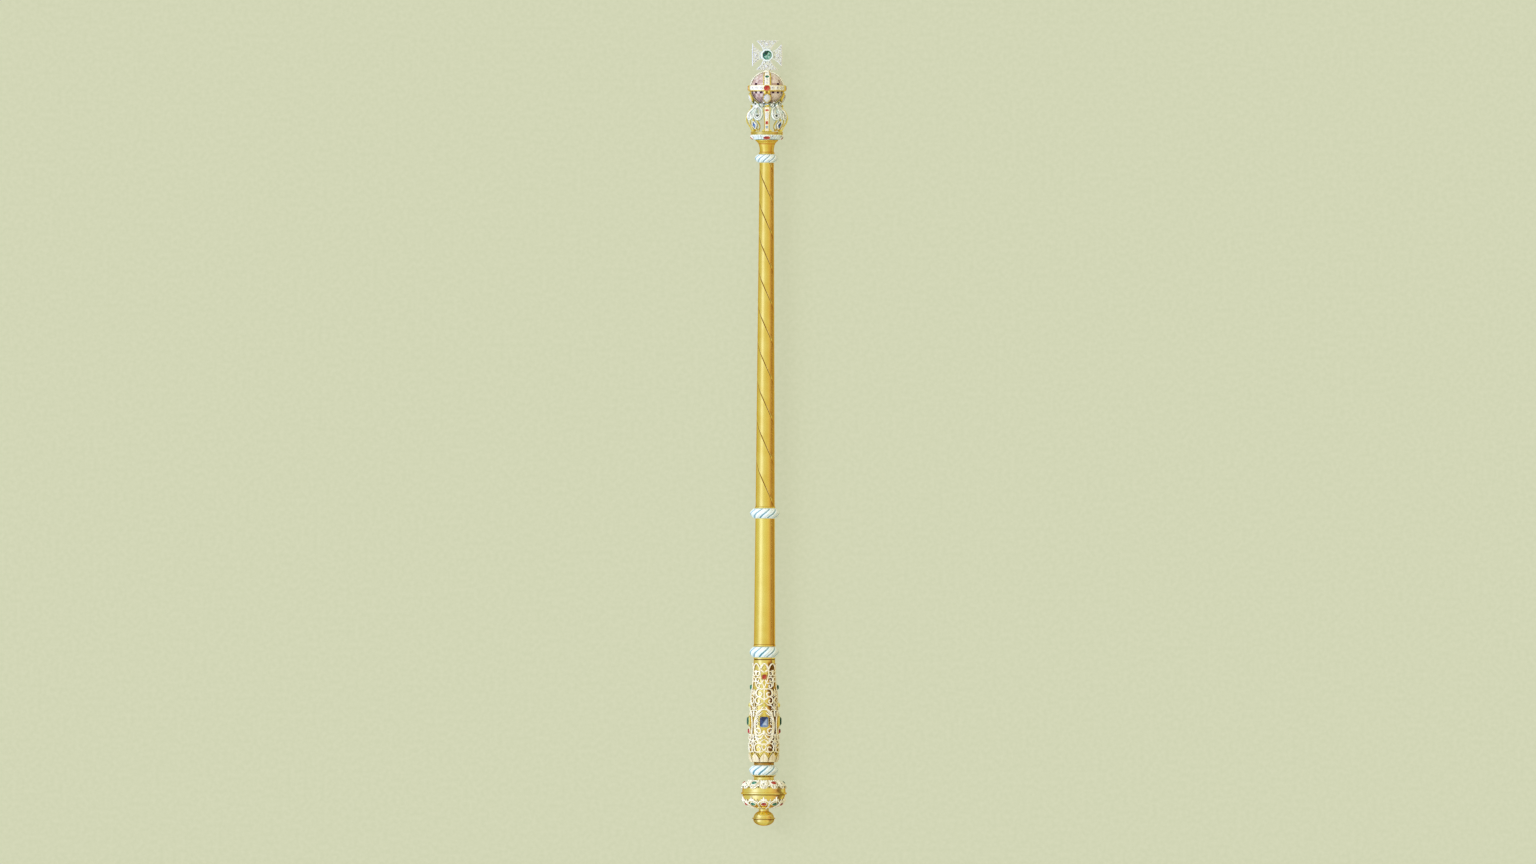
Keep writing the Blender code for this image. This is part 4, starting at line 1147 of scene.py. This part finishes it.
def make_rods():
    """The plain lower length and the upper one with its engraved triple spiral."""
    foot, top = span("rod_lower")
    ring = soften(lifted([(11.3, 0), (11.8, 0.4), (11.85, 1.2), (11.6, 1.8), (11.3, 2.1, 0.9)], foot), 0.0002)
    profile = [(0, foot), *ring, (0.0114, foot + 0.0026), (0.0104, top), (0, top)]
    turned_piece("rod_lower_skin", profile, "rod_gold", "rod_lower", rule=ROD_SHADE_RULE)

    foot, top = span("rod_upper")
    shape = Shape()
    ring = soften(lifted([(10.6, 0), (10.9, 0.4), (11.0, 1.0), (10.8, 1.5), (10.3, 1.8, 0.9)], foot), 0.0002)
    turn(shape, [(0, foot), *ring, (0.0100, foot + 0.0018), (0, foot + 0.0018)])
    low, wide, narrow = foot + 0.0016, 0.0103, 0.0077
    rows = 420
    sides = 14
    pitch = TAU / SPIRAL_LINES
    groove = 0.00060  # half width of the engraved line
    step = (top - low) / rows
    points, tones = [], []
    turned = SPIRAL_START
    for j in range(rows + 1):
        height = top - step * j
        radius = wide + (narrow - wide) * (height - low) / (top - low)
        turned += SPIRAL_SLANT * step / radius if j else 0
        row = []
        for start in circle(SPIRAL_LINES):
            for k in range(sides):
                offset = pitch * k / sides
                if min(offset, pitch - offset) > 1.6 * groove / radius:
                    row.append((start + offset, radius, 0.0))
            for spot, deep, tone in LINE_SECTION:
                row.append(((start + spot * groove / radius) % TAU, radius - deep, tone))
        for offset, far, tone in sorted(row):
            angle, height, far, tone = ROD_SHADE_RULE(turned + offset, height, far, tone)
            points.append(around(angle, height, far))
            tones.append(tone)
    count = len(points) // (rows + 1)
    shape.add(points, grid(rows + 1, count) + caps(rows + 1, count), 0, tones)
    make_piece("rod_upper_skin", shape, ["rod_gold"], ["rod_upper"], smooth=40)


def make_capital():
    """The flared head of the rod, deeper and more orange on one side as a painted shade, with a joint line
    under its rim.
    """
    foot, top = span("capital")
    ring = lifted([(8.0, 0), (8.4, 0.4), (8.4, 1.6), (8.0, 2.0), (7.6, 2.2, 0.9)], foot)
    flare = []
    for degrees in range(5, 86, 8):
        a = math.radians(degrees)
        line = 0.75 if degrees in (45, 53) else 0.0
        out = 0.0122 - 0.0046 * math.cos(a) - (0.00015 if line else 0)
        flare.append((out, top - 0.0014 - 0.0100 * (1 - math.sin(a)) ** 0.9, line))
    rim = lifted([(11.8, -1.5, 0.8), (12.2, -1.2), (12.2, -0.4), (11.9, 0)], top)
    neck = [(0.0076, foot + 0.0030), (0.0076, top - 0.0122)]
    profile = [(0, foot), *soften(ring, 0.0002), *neck, *flare, *soften(rim, 0.0002), (0, top)]
    # painted shade: deeper and more orange between two angles on each half turn
    turned_piece("capital_turned", profile, "joint_and_shade_gold", "capital", rule=painted_shade(0.46, -2, 14, 112, 20))


def make_jewelled_ring():
    """The jewelled ring of small white leaves with four rubies, and the plate that the ribs stand on."""
    foot, top = span("jewelled_ring")
    surface = [(foot, 0.0136), (foot + 0.0016, 0.0148), (foot + 0.0034, 0.0164)]
    surface += [(top - 0.0004, 0.0171), (top, 0.0168)]
    shape = Shape()
    leaves = 24

    def lobed(angle, height, radius, tone):
        u = (angle * leaves / TAU + 0.5) % 1 * 2 - 1
        share = (height - foot) / (top - foot)
        valley = abs(u) ** 4
        cut = 0.0007 * valley * math.sin(math.pi * min(1, 0.15 + share * 0.8))
        vein = 0.35 * math.exp(-((u / 0.18) ** 2)) * share
        # teal in the valleys and along the vein, and a painted shade along the lower edge
        tone = max(valley * 0.75, 0.7 * max(0, 1 - share / 0.2), vein)
        return angle + 0.06 * (share - 0.5), height, radius - cut, tone

    outer = [(along(surface, height), height) for height in spaced(foot, top, 13)]
    turn(shape, [(0, foot), *outer, (0, top)], leaves * 12, rule=lobed)
    for angle in circle(leaves * 2, 0.5):
        bead(shape, facing(angle, top - 0.0007, 0.0169, math.radians(-10)), 0.0006, SECOND)
    for quarter, angle in QUARTERS.items():
        node = f"ring_ruby_{quarter}"
        seat = facing(angle, 0.7403, 0.0150, math.radians(-40)) @ Matrix.Translation((0, 0, 0.0013))
        collet(shape, seat, oval(0.0078, 0.0046, 24), 0.0002, 0.0022, finish=SECOND)
        ruby = {"nodes": [node], "base": 0.42, "contrast": 0.5}
        gem_piece(node + "_cut", "ruby", brilliant, seat, 0.0078, 0.0046, 0.0012, 10, **ruby)
        for i, side in enumerate((-1, 1)):
            dot = facing(angle + side * 0.40, foot + 0.0030, 0.0162, math.radians(-35))
            name = f"ring_diamond_{quarter}_{i}"
            gem_piece(name, "diamond", brilliant, dot, 0.0024, 0.0024, 0.0008, 6, base=0.4)
    make_piece("jewelled_ring_leaves", shape, ["leaf", "white"], ["jewelled_ring"])

    foot, top = span("base_plate")
    wide = reach("base_plate") - 0.00005
    middle = (foot + top) / 2
    plate = [
        (wide - 0.0004, foot),
        (wide, foot + 0.0006),
        (wide - 0.0001, middle - 0.0003),
        (wide - 0.0012, middle - 0.0001, 0.8),
        (wide - 0.0012, middle + 0.0001, 0.8),
        (wide - 0.0001, middle + 0.0003),
        (wide, top - 0.0005),
        (wide - 0.0004, top),
        *lifted([(14.0, 0), (13.6, -0.3, 0.8), (13.1, 0)], top),
    ]
    profile = [(0, foot), *soften(plate, 0.0002), (0, top)]
    turned_piece("base_plate_turned", profile, "burnished", "base_plate")


# Head: ribs, brackets and wreath

RIB_LINE = (
    (0.7463, 0.0163), (0.7514, 0.0188), (0.7560, 0.0216), (0.7610, 0.0226),
    (0.7660, 0.0212), (0.7695, 0.0185), (0.7726, 0.0168),
)  # fmt: skip
RIB_TOP = 0.7722
RIB_WIDTHS = ((0.7463, 0.0062), (0.7560, 0.0059), (0.7640, 0.0068), (0.7690, 0.0079), (0.7722, 0.0074))
BRACKET_SAPPHIRE_GLINTS = (0.35, 0.1, 0.1, 0.1, 0.4, 0.6, 0.8, 0.8)  # painted glints and shade of its sapphire's table, as for the grip's
LYRE = ((0.0014, 0.7472), (0.0046, 0.7492), (0.0066, 0.7532), (0.0054, 0.7580), (0.0040, 0.7610))
LEG = ((0.0006, 0.7732), (0.0038, 0.7712), (0.0076, 0.7682), (0.0096, 0.7648))
LEG_WIDTHS = ((0, 0.0012), (0.3, 0.0032), (0.6, 0.0030), (0.85, 0.0019), (1, 0.0012))


def rib_radius(height):
    return along(RIB_LINE, height)


def strap_radius(height):
    return rib_radius(height) - 0.0007


def make_rib(quarter, angle):
    """A channelled strap with pale enamel along it and behind it, its stones, a foot and a curl."""
    node = f"rib_{quarter}"
    foot = span(node)[0]
    shape = Shape()
    heights = spaced(foot + 0.0004, RIB_TOP, 37)
    path, outward = wrapped([(0, height) for height in heights], angle, strap_radius)
    widths = [along(RIB_WIDTHS, height) for height in heights]
    bar(shape, path, outward, widths, 0.0007, STRAP)
    liner = [point + out * 0.0001 for point, out in zip(path, outward)]
    bar(shape, liner, outward, [width * 0.70 for width in widths], 0.0003, BAND, SECOND)
    behind = [point - out * 0.0010 for point, out in zip(path, outward)]
    bar(shape, behind[5:-3], outward[5:-3], [width * 0.84 for width in widths[5:-3]], 0.0006, BAND, THIRD)
    base = facing(angle, foot + 0.0006, 0.0142)
    for wide, high, rise in ((0.0053, 0.0020, 0.0004), (0.0045, 0.0017, 0.0010), (0.0037, 0.0014, 0.0015)):
        outline = ((-wide, -0.0022), (wide, -0.0022), (wide, high), (-wide, high))
        points = [(x, depth, z) for depth in (-0.0006, rise) for x, z in outline]
        shape.add(points, grid(2, 4) + caps(2, 4), 0, [0.2] * 8, base)
    for side in (-1, 0, 1):
        curl = facing(angle + side * 0.10, RIB_TOP + 0.0015, 0.0164)
        size = 0.0011 if side else 0.0013
        bead(shape, curl, size, flat=1.1, steps=14)
        bead(shape, curl @ Matrix.Rotation(TAU / 2, 4, "X"), size, steps=14)
    make_piece(node + "_strap", shape, ["gold", "cream", "white"], [node])
    gems = (
        ("ruby", 0.7688, oval(0.0048, 0.0032, 16), 0.4),
        ("diamond", 0.7628, pear(0.0042, 0.0086), 0.2),
        ("ruby", 0.7556, octagon(0.0030, 0.0038, 0.2), 0.4),
        ("sapphire_pale", 0.7510, octagon(0.0028, 0.0036, 0.2), 0.4),
    )
    for i, (kind, height, outline, base) in enumerate(gems):
        slope = math.atan2(rib_radius(height - 0.001) - rib_radius(height + 0.001), 0.002)
        place = facing(angle, height, rib_radius(height) - 0.0006, slope)
        gem_piece(f"rib_{quarter}_stone_{i}", kind, stone, place, outline, 0.0007, base=base, contrast=0.5)


def bracket_radius(height):
    """The bulging surface that the brackets between the ribs follow."""
    return rib_radius(height) - 0.0010


def make_bracket(quarter, angle):
    """Between two ribs: a gold lyre round a sapphire, under two enamelled leaves that curl at their feet."""
    node = f"bracket_{quarter}"
    shape = Shape()

    def lay(path, *sizes, **looks):
        strip(shape, bracket_radius, angle, path, *sizes, **looks)

    for side in (-1, 1):
        lay(curve([(side * x, h) for x, h in LYRE], 26), 0.0010, 0.0008, finish=SECOND, lift=-0.0004)
        foot = curve([(side * 0.0040, 0.7474), (side * 0.0016, 0.7479), (0, 0.7490)], 8)
        lay(foot, 0.0013, 0.0009, finish=SECOND)
        leaf = volute([(side * x, h) for x, h in LEG], (side * 0.0059, 0.7633), 0.0009, -side * 1.0, 34)
        wide = [along(LEG_WIDTHS, share) for share in spaced(0, 1, len(leaf))]
        lay(leaf, wide, 0.0013, section=LEAF)
        rim = []
        for i in range(4, (len(leaf) - 1) * 7 // 10):
            run = (leaf[i + 1] - leaf[i - 1]).normalized()
            rim.append(leaf[i] + side * Vector((-run.y, run.x)) * wide[i] * 0.52)
        lay(rim, 0.0013, 0.0010, finish=THIRD, lift=-0.0005)
        bead(shape, on(bracket_radius, angle + side * 0.0059 / 0.0216, 0.7633, 0.0003), 0.0009, FOURTH)
        vein = curve([(side * 0.0014, 0.7700), (side * 0.0030, 0.7676), (side * 0.0030, 0.7650)], 12)
        lay(vein, 0.0016, 0.0010, (0.4, 0.3), LEAF, THIRD, -0.0002)
    stem = [(0, 0.7478), (0, 0.7540), (0, 0.7640), (0, 0.7712)]
    lay(curve(stem, 20), 0.0016, 0.0010, finish=SECOND, lift=-0.0010)
    lay(curve([(0, 0.7596), (0, 0.7650), (0, 0.7720)], 14), 0.0034, 0.0011, (0.3, 0.5), LEAF)
    for aside, height in ((0, 0.7738), (-0.06, 0.7728), (0.06, 0.7728)):
        bead(shape, facing(angle + aside, height, 0.0158), 0.0015)
    spot = on(bracket_radius, angle, 0.7530, 0.0004, -20)
    collet(shape, spot, lozenge(0.0048, 0.0074), 0.0006, 0.0020, 0.0008)
    stone_node = f"bracket_sapphire_{quarter}"
    looks = {"nodes": [stone_node], "table": 0.5, "base": 0.62, "contrast": 0.5, "top": BRACKET_SAPPHIRE_GLINTS}
    gem_piece(stone_node + "_cut", "sapphire", stone, spot, lozenge(0.0046, 0.0072), 0.0012, **looks)
    make_piece(node + "_leaves", shape, ["white", "gold", "mint", "dot"], [node])


def make_wreath():
    """A ring of small curling leaves with dark berries among them."""
    foot, top = span("wreath")
    shape = Shape()
    leaves = 16
    middle, half = (foot + top) / 2, (top - foot) / 2
    profile = []
    for a in circle(20):
        profile.append((0.0124 + 0.0019 * math.cos(a), middle + half * 0.9 * math.sin(a), 0.5))
    turn(shape, profile, ring=True)
    widths = (0.0018, 0.0036, 0.0044, 0.0040, 0.0028, 0.0010)
    for i, angle in enumerate(circle(leaves)):
        odd = i % 2
        lean = 0.08 if odd else -0.08
        path, outward = [], []
        for t in spaced(0, 1, len(widths)):
            height = foot + 0.0004 + (top - foot - 0.0008) * t
            path.append(around(angle + lean * (2 * t - 1), height, 0.0138 + 0.0014 * math.sin(math.pi * t)))
            outward.append(around(angle, 0.3 * (t - 0.5), 1).normalized())
        bar(shape, path, outward, widths, 0.0010, LEAF, FOURTH if odd else 0)
        between = angle + TAU / leaves / 2
        up, finish = (0.0036, SECOND) if odd else (0.0024, THIRD)
        bead(shape, facing(between, foot + up, 0.0150), 0.0009, finish)
        bead(shape, facing(between + 0.05, foot + (0.0014 if odd else 0.0048), 0.0147), 0.0008, SECOND)
        bead(shape, facing(between - 0.04, foot + (0.0050 if odd else 0.0010), 0.0146), 0.0010, FOURTH)
    make_piece("wreath_leaves", shape, ["leaf", "dot", "green_dot", "white"], ["wreath"])


# Orb, its frame and the cross

ORB_ROWS = ((90, 1, 0), (75, 8, 0), (60, 16, 0.5), (46, 24, 0), (32, 32, 0.5), (19, 32, 0.5), (10, 32, 0.5))
ROWS_BY_BELT = (0.0034, 0.0056, 0.0092)  # where the two rows of facets next to the belt begin and end
CROWN = 0.8110  # height of the knob between the orb and the cross
ORB_INSET = 0.0009  # how far the glass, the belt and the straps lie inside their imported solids
STRAP_WIDTHS = ((9, 0.0084), (50, 0.0080), (68, 0.0066), (84, 0.0034))
STRAP_STONES = (  # latitude, size and kind
    (18, 0.0034, "diamond"),
    (30, 0.0034, "diamond"),
    (43, 0.0050, "emerald"),
    (63, 0.0034, "diamond"),
)
CROSS_HALF_DEPTH = 0.0022
PAVE_ROWS = ((0.0080, 2), (0.0103, 4), (0.0126, 5), (0.0147, 7))  # distance along an arm, and stones
EMERALD_GLINTS = (0.0, 0.40, 0.0, 0.30, 0.08, 0.75, 1.0, 0.85)  # painted glints and shade of its table's facets, from the upper right, clockwise


def orb_shade(out, height, radius, number):
    """The painted shade of one of the orb's facets: lighter towards the right and the top, with deep ones at
    the lower left and some at random; those beside the belt are the darkest.
    """
    chance = RANDOM.random()
    first, second, end = ROWS_BY_BELT
    if first < abs(height) < second:
        return 0.95 if number % 2 == 0 and (height < 0 or number % 4 == 0) else 0.5 * chance
    if second <= abs(height) < end and number % 4 == 1 and chance < 0.6:
        return 0.66
    if height < 0 and out / radius < 0.1 and number % 3 == 0 and chance < 0.5:
        return 0.72 + 0.4 * chance
    return max(0.0, 0.24 - 0.38 * out / radius - 0.16 * height / radius + 0.6 * (chance - 0.5))


def make_orb():
    """The orb, cut all round in rows of facets."""
    radius = reach("amethyst_orb") - ORB_INSET
    low, high = span("amethyst_orb")
    middle = (low + high) / 2
    made = bmesh.new()
    for latitude, count, offset in (*ORB_ROWS, *[(-row[0], *row[1:]) for row in reversed(ORB_ROWS)]):
        tilt = math.radians(latitude)
        for angle in circle(count, offset):
            made.verts.new(around(angle, radius * 0.998 * math.sin(tilt), radius * 0.998 * math.cos(tilt)))
    bmesh.ops.convex_hull(made, input=made.verts)
    bmesh.ops.dissolve_limit(made, angle_limit=math.radians(1.0), verts=made.verts, edges=made.edges)
    bmesh.ops.translate(made, vec=(0, 0, middle), verts=made.verts)
    made.verts.index_update()
    points = [v.co.copy() for v in made.verts]
    faces, shades = [], []
    for face in made.faces:
        faces.append([v.index for v in face.verts])
        centre = face.calc_center_median()
        number = round(math.atan2(centre.x, -centre.y) / (TAU / 32))
        shades.append(orb_shade(centre.x, centre.z - middle, radius, number))
    made.free()
    shape = Shape()
    shape.add(points, faces, shades=shades)
    make_piece("amethyst_orb_cut", shape, ["amethyst"], ["amethyst_orb"], smooth=0)
    return middle, radius


def meridian(angle, middle, radius, start, end, count):
    """Places and outward directions up a meridian of the orb, between two latitudes in degrees."""
    places, outward = [], []
    for latitude in spaced(start, end, count):
        tilt = math.radians(latitude)
        places.append(around(angle, middle + radius * math.sin(tilt), radius * math.cos(tilt)))
        outward.append(around(angle, math.sin(tilt), math.cos(tilt)))
    return places, outward


def orb_strap(shape, bosses, quarter, angle, middle, inner):
    """A strap over the crown: a pale band that carries four stones, with low gold edges in front and behind.
    """
    places, outward = meridian(angle, middle, inner + 0.0001, 9, 84, 26)
    widths = [along(STRAP_WIDTHS, latitude) for latitude in spaced(9, 84, 26)]
    if quarter in ("front", "back"):
        bar(shape, places, outward, widths, 0.0005, STRAP)
    bar(bosses, places, outward, [width * 0.66 for width in widths], 0.0006, BAND)
    for i, (latitude, size, kind) in enumerate(STRAP_STONES):
        tilt = math.radians(latitude)
        far = inner + 0.0004
        place = facing(angle, middle + far * math.sin(tilt), far * math.cos(tilt), tilt)
        collet(bosses, place, oval(size + 0.0004, size + 0.0002, 16), 0.0004, 0.0003, flare=0.0002)
        green = kind == "emerald"
        looks = {"base": 0.75, "contrast": 0.5} if green else {"heart": True}
        length = size * 0.8 if green else size
        gem_piece(f"orb_strap_{quarter}_{kind}_{i}", kind, brilliant, place, size, length, 0.0007, **looks)


def orb_claw(shape, quarter, angle, middle, inner):
    """A claw from the belt down to the wreath, with a pear-shaped diamond on it."""
    places, outward = meridian(angle, middle, inner + 0.0003, -9, -62, 20)
    bar(shape, places, outward, spaced(0.0074, 0.0026, 20), 0.0009, LEAF)
    node = f"pear_diamond_{quarter}"
    seat = facing(angle, 0.7824, 0.0156, math.radians(-24)) @ Matrix.Translation((0, 0, 0.0010 + GAP))
    collet(shape, seat, pear(0.0080, 0.0106), 0.0006, 0.0018, 0.0006, 0.0002)
    looks = {"nodes": [node], "table": 0.5, "base": 0.32, "contrast": 0.5}
    gem_piece(node + "_cut", "diamond", stone, seat, pear(0.0078, 0.0104), 0.0026, **looks)


def make_orb_frame(middle, radius):
    """The jewelled belt, the straps over the crown and the gold claws that run down to the wreath."""
    inner = radius + GAP
    outer = inner + 0.0012
    high, low = middle + 0.0033, middle - 0.0033
    shape, bosses = Shape(), Shape()
    belt = [
        (inner, high, 0.4),
        (inner + 0.0006, high),
        (outer - 0.0003, high - 0.0002),
        (outer - 0.0004, high - 0.0005, 0.6),
        (outer - 0.0004, low + 0.0011, 0.9),
        (outer, low + 0.0008, 0.2),
        (outer + 0.0001, low + 0.0005),
        (outer - 0.0001, low + 0.0001, 0.3),
        (inner + 0.0004, low - 0.0002, 0.8),
        (inner, low, 0.9),
    ]
    turn(shape, belt, 120, ring=True)
    ground = [
        (outer - 0.0006, low + 0.0010),
        (outer - 0.0001, low + 0.0011),
        (outer - 0.0001, high - 0.0004),
        (outer - 0.0006, high - 0.0002),
    ]
    turn(bosses, soften(ground, 0.0002), 120, ring=True)
    for i, angle in enumerate(circle(20)):
        if i % 5:
            place = facing(angle, middle + 0.0002, outer - 0.0003)
            collet(bosses, place, oval(0.0038, 0.0040, 16), 0.0003, 0.0003, 0.0003, 0.0002)
            gem_piece(f"belt_diamond_{i}", "diamond", brilliant, place, 0.0036, 0.0038, 0.0008, heart=True)
    for quarter, angle in QUARTERS.items():
        node = f"belt_ruby_{quarter}"
        place = facing(angle, middle, reach(node) - 0.0015)
        outline = octagon(0.0066, 0.0058, 0.3)
        collet(shape, place, outline, 0.0003, 0.0020, 0.0003, 0.0002)
        looks = {"nodes": [node], "base": 0.45, "contrast": 0.55}
        gem_piece(node + "_cut", "ruby", stone, place, outline, 0.0012, **looks)
        orb_strap(shape, bosses, quarter, angle, middle, inner)
        orb_claw(shape, quarter, angle, middle, inner)
    knob = lifted([(0, -0.8), (3.2, -0.8), (3.6, -0.2), (3.2, 0.9), (0, 0.9)], CROWN)
    turn(shape, soften(knob, 0.0002), 40, SECOND)
    make_piece("orb_frame_gold", shape, ["gold", "ivory"], ["orb_frame"])
    make_piece("orb_collets", bosses, ["ivory"])


def arm_side(out):
    """Half the width of an arm of the cross at a distance from the middle."""
    return 0.0045 + 0.0089 * ramp(out, 0.0050, 0.0166) ** 1.8


def cross_arm(shape, arm, far):
    """The plate of one arm, with a raised rim round its recessed faces."""
    half = CROSS_HALF_DEPTH
    end = far - 0.0003
    sides = [(out, arm_side(out)) for out in spaced(0.0046, end, 15)]
    tip = [(end + 0.0003 * (1 - t * t), t * sides[-1][1]) for t in (0.8, 0.4, 0, -0.4, -0.8)]
    outline = [*sides, *tip, *[(out, -across) for out, across in reversed(sides)]]
    count = len(outline)
    inset = []
    for k, (out, across) in enumerate(outline):
        before, after = outline[k - 1], outline[(k + 1) % count]
        run = Vector((after[0] - before[0], after[1] - before[1])).normalized()
        inset.append((out + run.y * 0.0006, across - run.x * 0.0006))
    front = ((outline, 0.7, 0.3), (outline, 0.9, 0.0), (inset, 1.0, 0.0), (inset, 0.7, 0.3))
    points, tones = [], []
    for line, depth, tone in (*[(line, -depth, tone) for line, depth, tone in reversed(front)], *front):
        points += [(x, y, half * depth) for x, y in line]
        tones += [tone] * count
    shape.add(points, grid(8, count) + caps(8, count), 0, tones, arm)


def cross_stones(shape, pave, face):
    """One larger diamond in its collet and rows of small ones with grains between them."""
    big = 0.0118
    seat = face @ Matrix.Translation((big, 0, CROSS_HALF_DEPTH * 0.7))
    collet(shape, seat, oval(0.0040, 0.0040, 16), 0.0006, 0.0006, flare=0.0002)
    brilliant(pave, seat, 0.0040, 0.0040, 0.0010, heart=True)
    for out, number in PAVE_ROWS:
        room = arm_side(out) - 0.0009
        size = min(0.0021, 1.8 * room / number)
        for k in range(number):
            across = room * (-1 + (2 * k + 1) / number)
            if math.hypot(out - big, across) < 0.0030:
                continue
            spot = face @ Matrix.Translation((out, across, CROSS_HALF_DEPTH * 0.62))
            turned = RANDOM.uniform(0, TAU)
            brilliant(pave, spot, size, size, 0.0008, 6, twist=turned, heart=RANDOM.random() < 0.6)
            for side in (-1, 1):
                bead(shape, spot @ Matrix.Translation((-size * 0.62, side * size * 0.45, 0)), 0.0003, steps=6)


def make_cross():
    """A cross with arms widening to their ends, paved with diamonds on both faces, a stone at its middle."""
    foot, top = span("cross")
    upright = facing(0, (top + foot) / 2, 0)
    shape, pave = Shape(), Shape()
    for angle in circle(4):
        arm = upright @ Matrix.Rotation(angle, 4, "Z")
        cross_arm(shape, arm, (top - foot) / 2 - 0.00002)
        for face in (arm, arm @ Matrix.Rotation(TAU / 2, 4, "X")):
            cross_stones(shape, pave, face)
    make_piece("cross_diamonds", pave, ["diamond"], smooth=0)
    behind = upright @ Matrix.Rotation(TAU / 2, 4, "Y")
    stones = (
        ("cross_emerald", "emerald", upright, EMERALD_GLINTS),
        ("cross_rear_stone", "diamond", behind, None),
    )
    for node, kind, face, glimmer in stones:
        seat = face @ Matrix.Translation((0, 0, 0.0038 + GAP))
        collet(shape, seat, octagon(0.0100, 0.0100, 0.29), 0.0006, 0.0042, 0.0014, 0.0004, SECOND)
        for a in circle(8, 0.5):
            claw = Matrix.Translation((0.0054 * math.cos(a), 0.0054 * math.sin(a), 0.0002))
            bead(shape, seat @ claw, 0.0006)
        looks = {"nodes": [node], "table": 0.66, "base": 0.52, "top": glimmer}
        gem_piece(node + "_cut", kind, stone, seat, octagon(0.0098, 0.0098, 0.29), 0.0014, **looks)
    make_piece("cross_plate", shape, ["silver", "leaf"], ["cross"])


# Camera, floor and light

VIEW_WIDTH = 1.6512  # metres across the picture, at the height of the sceptre's axis
AXIS_HEIGHT = 0.024
AIM = (0.0026875, 0.001075)  # the point in the picture's middle, a little right of and over the object's
LENS = 600.0
SENSOR = 36.0
ROLL = 0.26  # degrees, for the sceptre's slight lean in the picture
DAYLIGHT = (  # the dome's colours from its left to its right
    (0.000, (0.66, 0.67, 0.55)),
    (0.028, (0.78, 0.82, 0.84)),
    (0.085, (1.08, 1.24, 2.00)),
    (0.165, (1.08, 1.24, 2.00)),
    (0.275, (0.84, 0.90, 0.98)),
    (0.380, (0.76, 0.80, 0.70)),
    (0.500, (0.78, 0.79, 0.62)),
    (0.620, (0.72, 0.70, 0.46)),
    (0.820, (0.78, 0.69, 0.48)),
    (0.905, (0.70, 0.53, 0.32)),
    (0.960, (0.60, 0.39, 0.28)),
    (1.000, (0.22, 0.085, 0.033)),
)


def make_camera():
    data = bpy.data.cameras.new("camera")
    data.lens = LENS
    data.sensor_width = SENSOR
    data.clip_start, data.clip_end = 0.1, 200
    camera = bpy.data.objects.new("camera", data)
    bpy.context.scene.collection.objects.link(camera)
    camera.rotation_euler = (0, 0, math.radians(ROLL))
    camera.location = (*AIM, AXIS_HEIGHT + VIEW_WIDTH * LENS / SENSOR)
    bpy.context.scene.camera = camera


def make_world():
    """A soft studio dome: brightest at the upper left, dim and warm on the right."""
    world = bpy.data.worlds.new("studio")
    bpy.context.scene.world = world
    world.use_nodes = True
    nodes, links = world.node_tree.nodes, world.node_tree.links
    nodes.clear()
    place = nodes.new("ShaderNodeTexCoord")
    split = nodes.new("ShaderNodeSeparateXYZ")
    links.new(place.outputs["Generated"], split.inputs[0])
    across = nodes.new("ShaderNodeMapRange")
    across.inputs["From Min"].default_value = -1
    across.inputs["From Max"].default_value = 1
    links.new(split.outputs["X"], across.inputs["Value"])
    colours = nodes.new("ShaderNodeValToRGB")
    points = colours.color_ramp.elements
    while len(points) < len(DAYLIGHT):
        points.new(0.5)
    for point, (position, colour) in zip(points, DAYLIGHT):
        point.position = position
        point.color = (*(c / 2 for c in colour), 1)
    links.new(across.outputs[0], colours.inputs[0])
    back = nodes.new("ShaderNodeBackground")
    back.inputs["Strength"].default_value = 2.0
    links.new(colours.outputs[0], back.inputs["Color"])
    out = nodes.new("ShaderNodeOutputWorld")
    links.new(back.outputs[0], out.inputs["Surface"])


def make_lights():
    data = bpy.data.lights.new("key", "SUN")
    data.energy = 1.3
    data.angle = math.radians(30)
    key = bpy.data.objects.new("key", data)
    bpy.context.scene.collection.objects.link(key)
    toward = Vector((-0.62, 0.30, 0.74))
    key.rotation_euler = toward.to_track_quat("Z", "Y").to_euler()
    key.visible_glossy = False


def make_floor():
    size = 40
    mesh = bpy.data.meshes.new("floor")
    corners = [(-size, -size, 0), (size, -size, 0), (size, size, 0), (-size, size, 0)]
    mesh.from_pydata(corners, [], [(0, 1, 2, 3)])
    floor = bpy.data.objects.new("floor", mesh)
    floor.location.z = -0.0002
    bpy.context.scene.collection.objects.link(floor)
    paper = Nodes("paper")
    grain = paper.spread(paper.noise(220, 4), 0.35, 0.65)
    paper.shade(paper.mix(grain, (0.100, 0.104, 0.073), (0.106, 0.110, 0.077)))
    paper.shade(paper.mix(grain, (0.520, 0.544, 0.375), (0.550, 0.569, 0.400)), "Emission Color")
    paper.value("Emission Strength", 1.0)
    paper.value("Roughness", 0.95)
    paper.value("Specular IOR Level", 0.0)
    floor.data.materials.append(paper.material)


make_camera()
make_world()
make_lights()
make_floor()
bpy.context.scene.view_settings.view_transform = "Standard"

make_finial()
make_pommel()
make_upper_mount()
make_lower_mount()
for node in ("pommel_collar", "grip_collar", "rod_collar", "head_collar"):
    make_collar(node)
make_grip_core()
make_grip_stones()
make_grip_scrolls()
make_rods()
make_capital()
make_jewelled_ring()
for quarter, angle in QUARTERS.items():
    make_rib(quarter, angle)
    make_bracket(quarter, angle + TAU / 8)
make_wreath()
make_orb_frame(*make_orb())
make_cross()
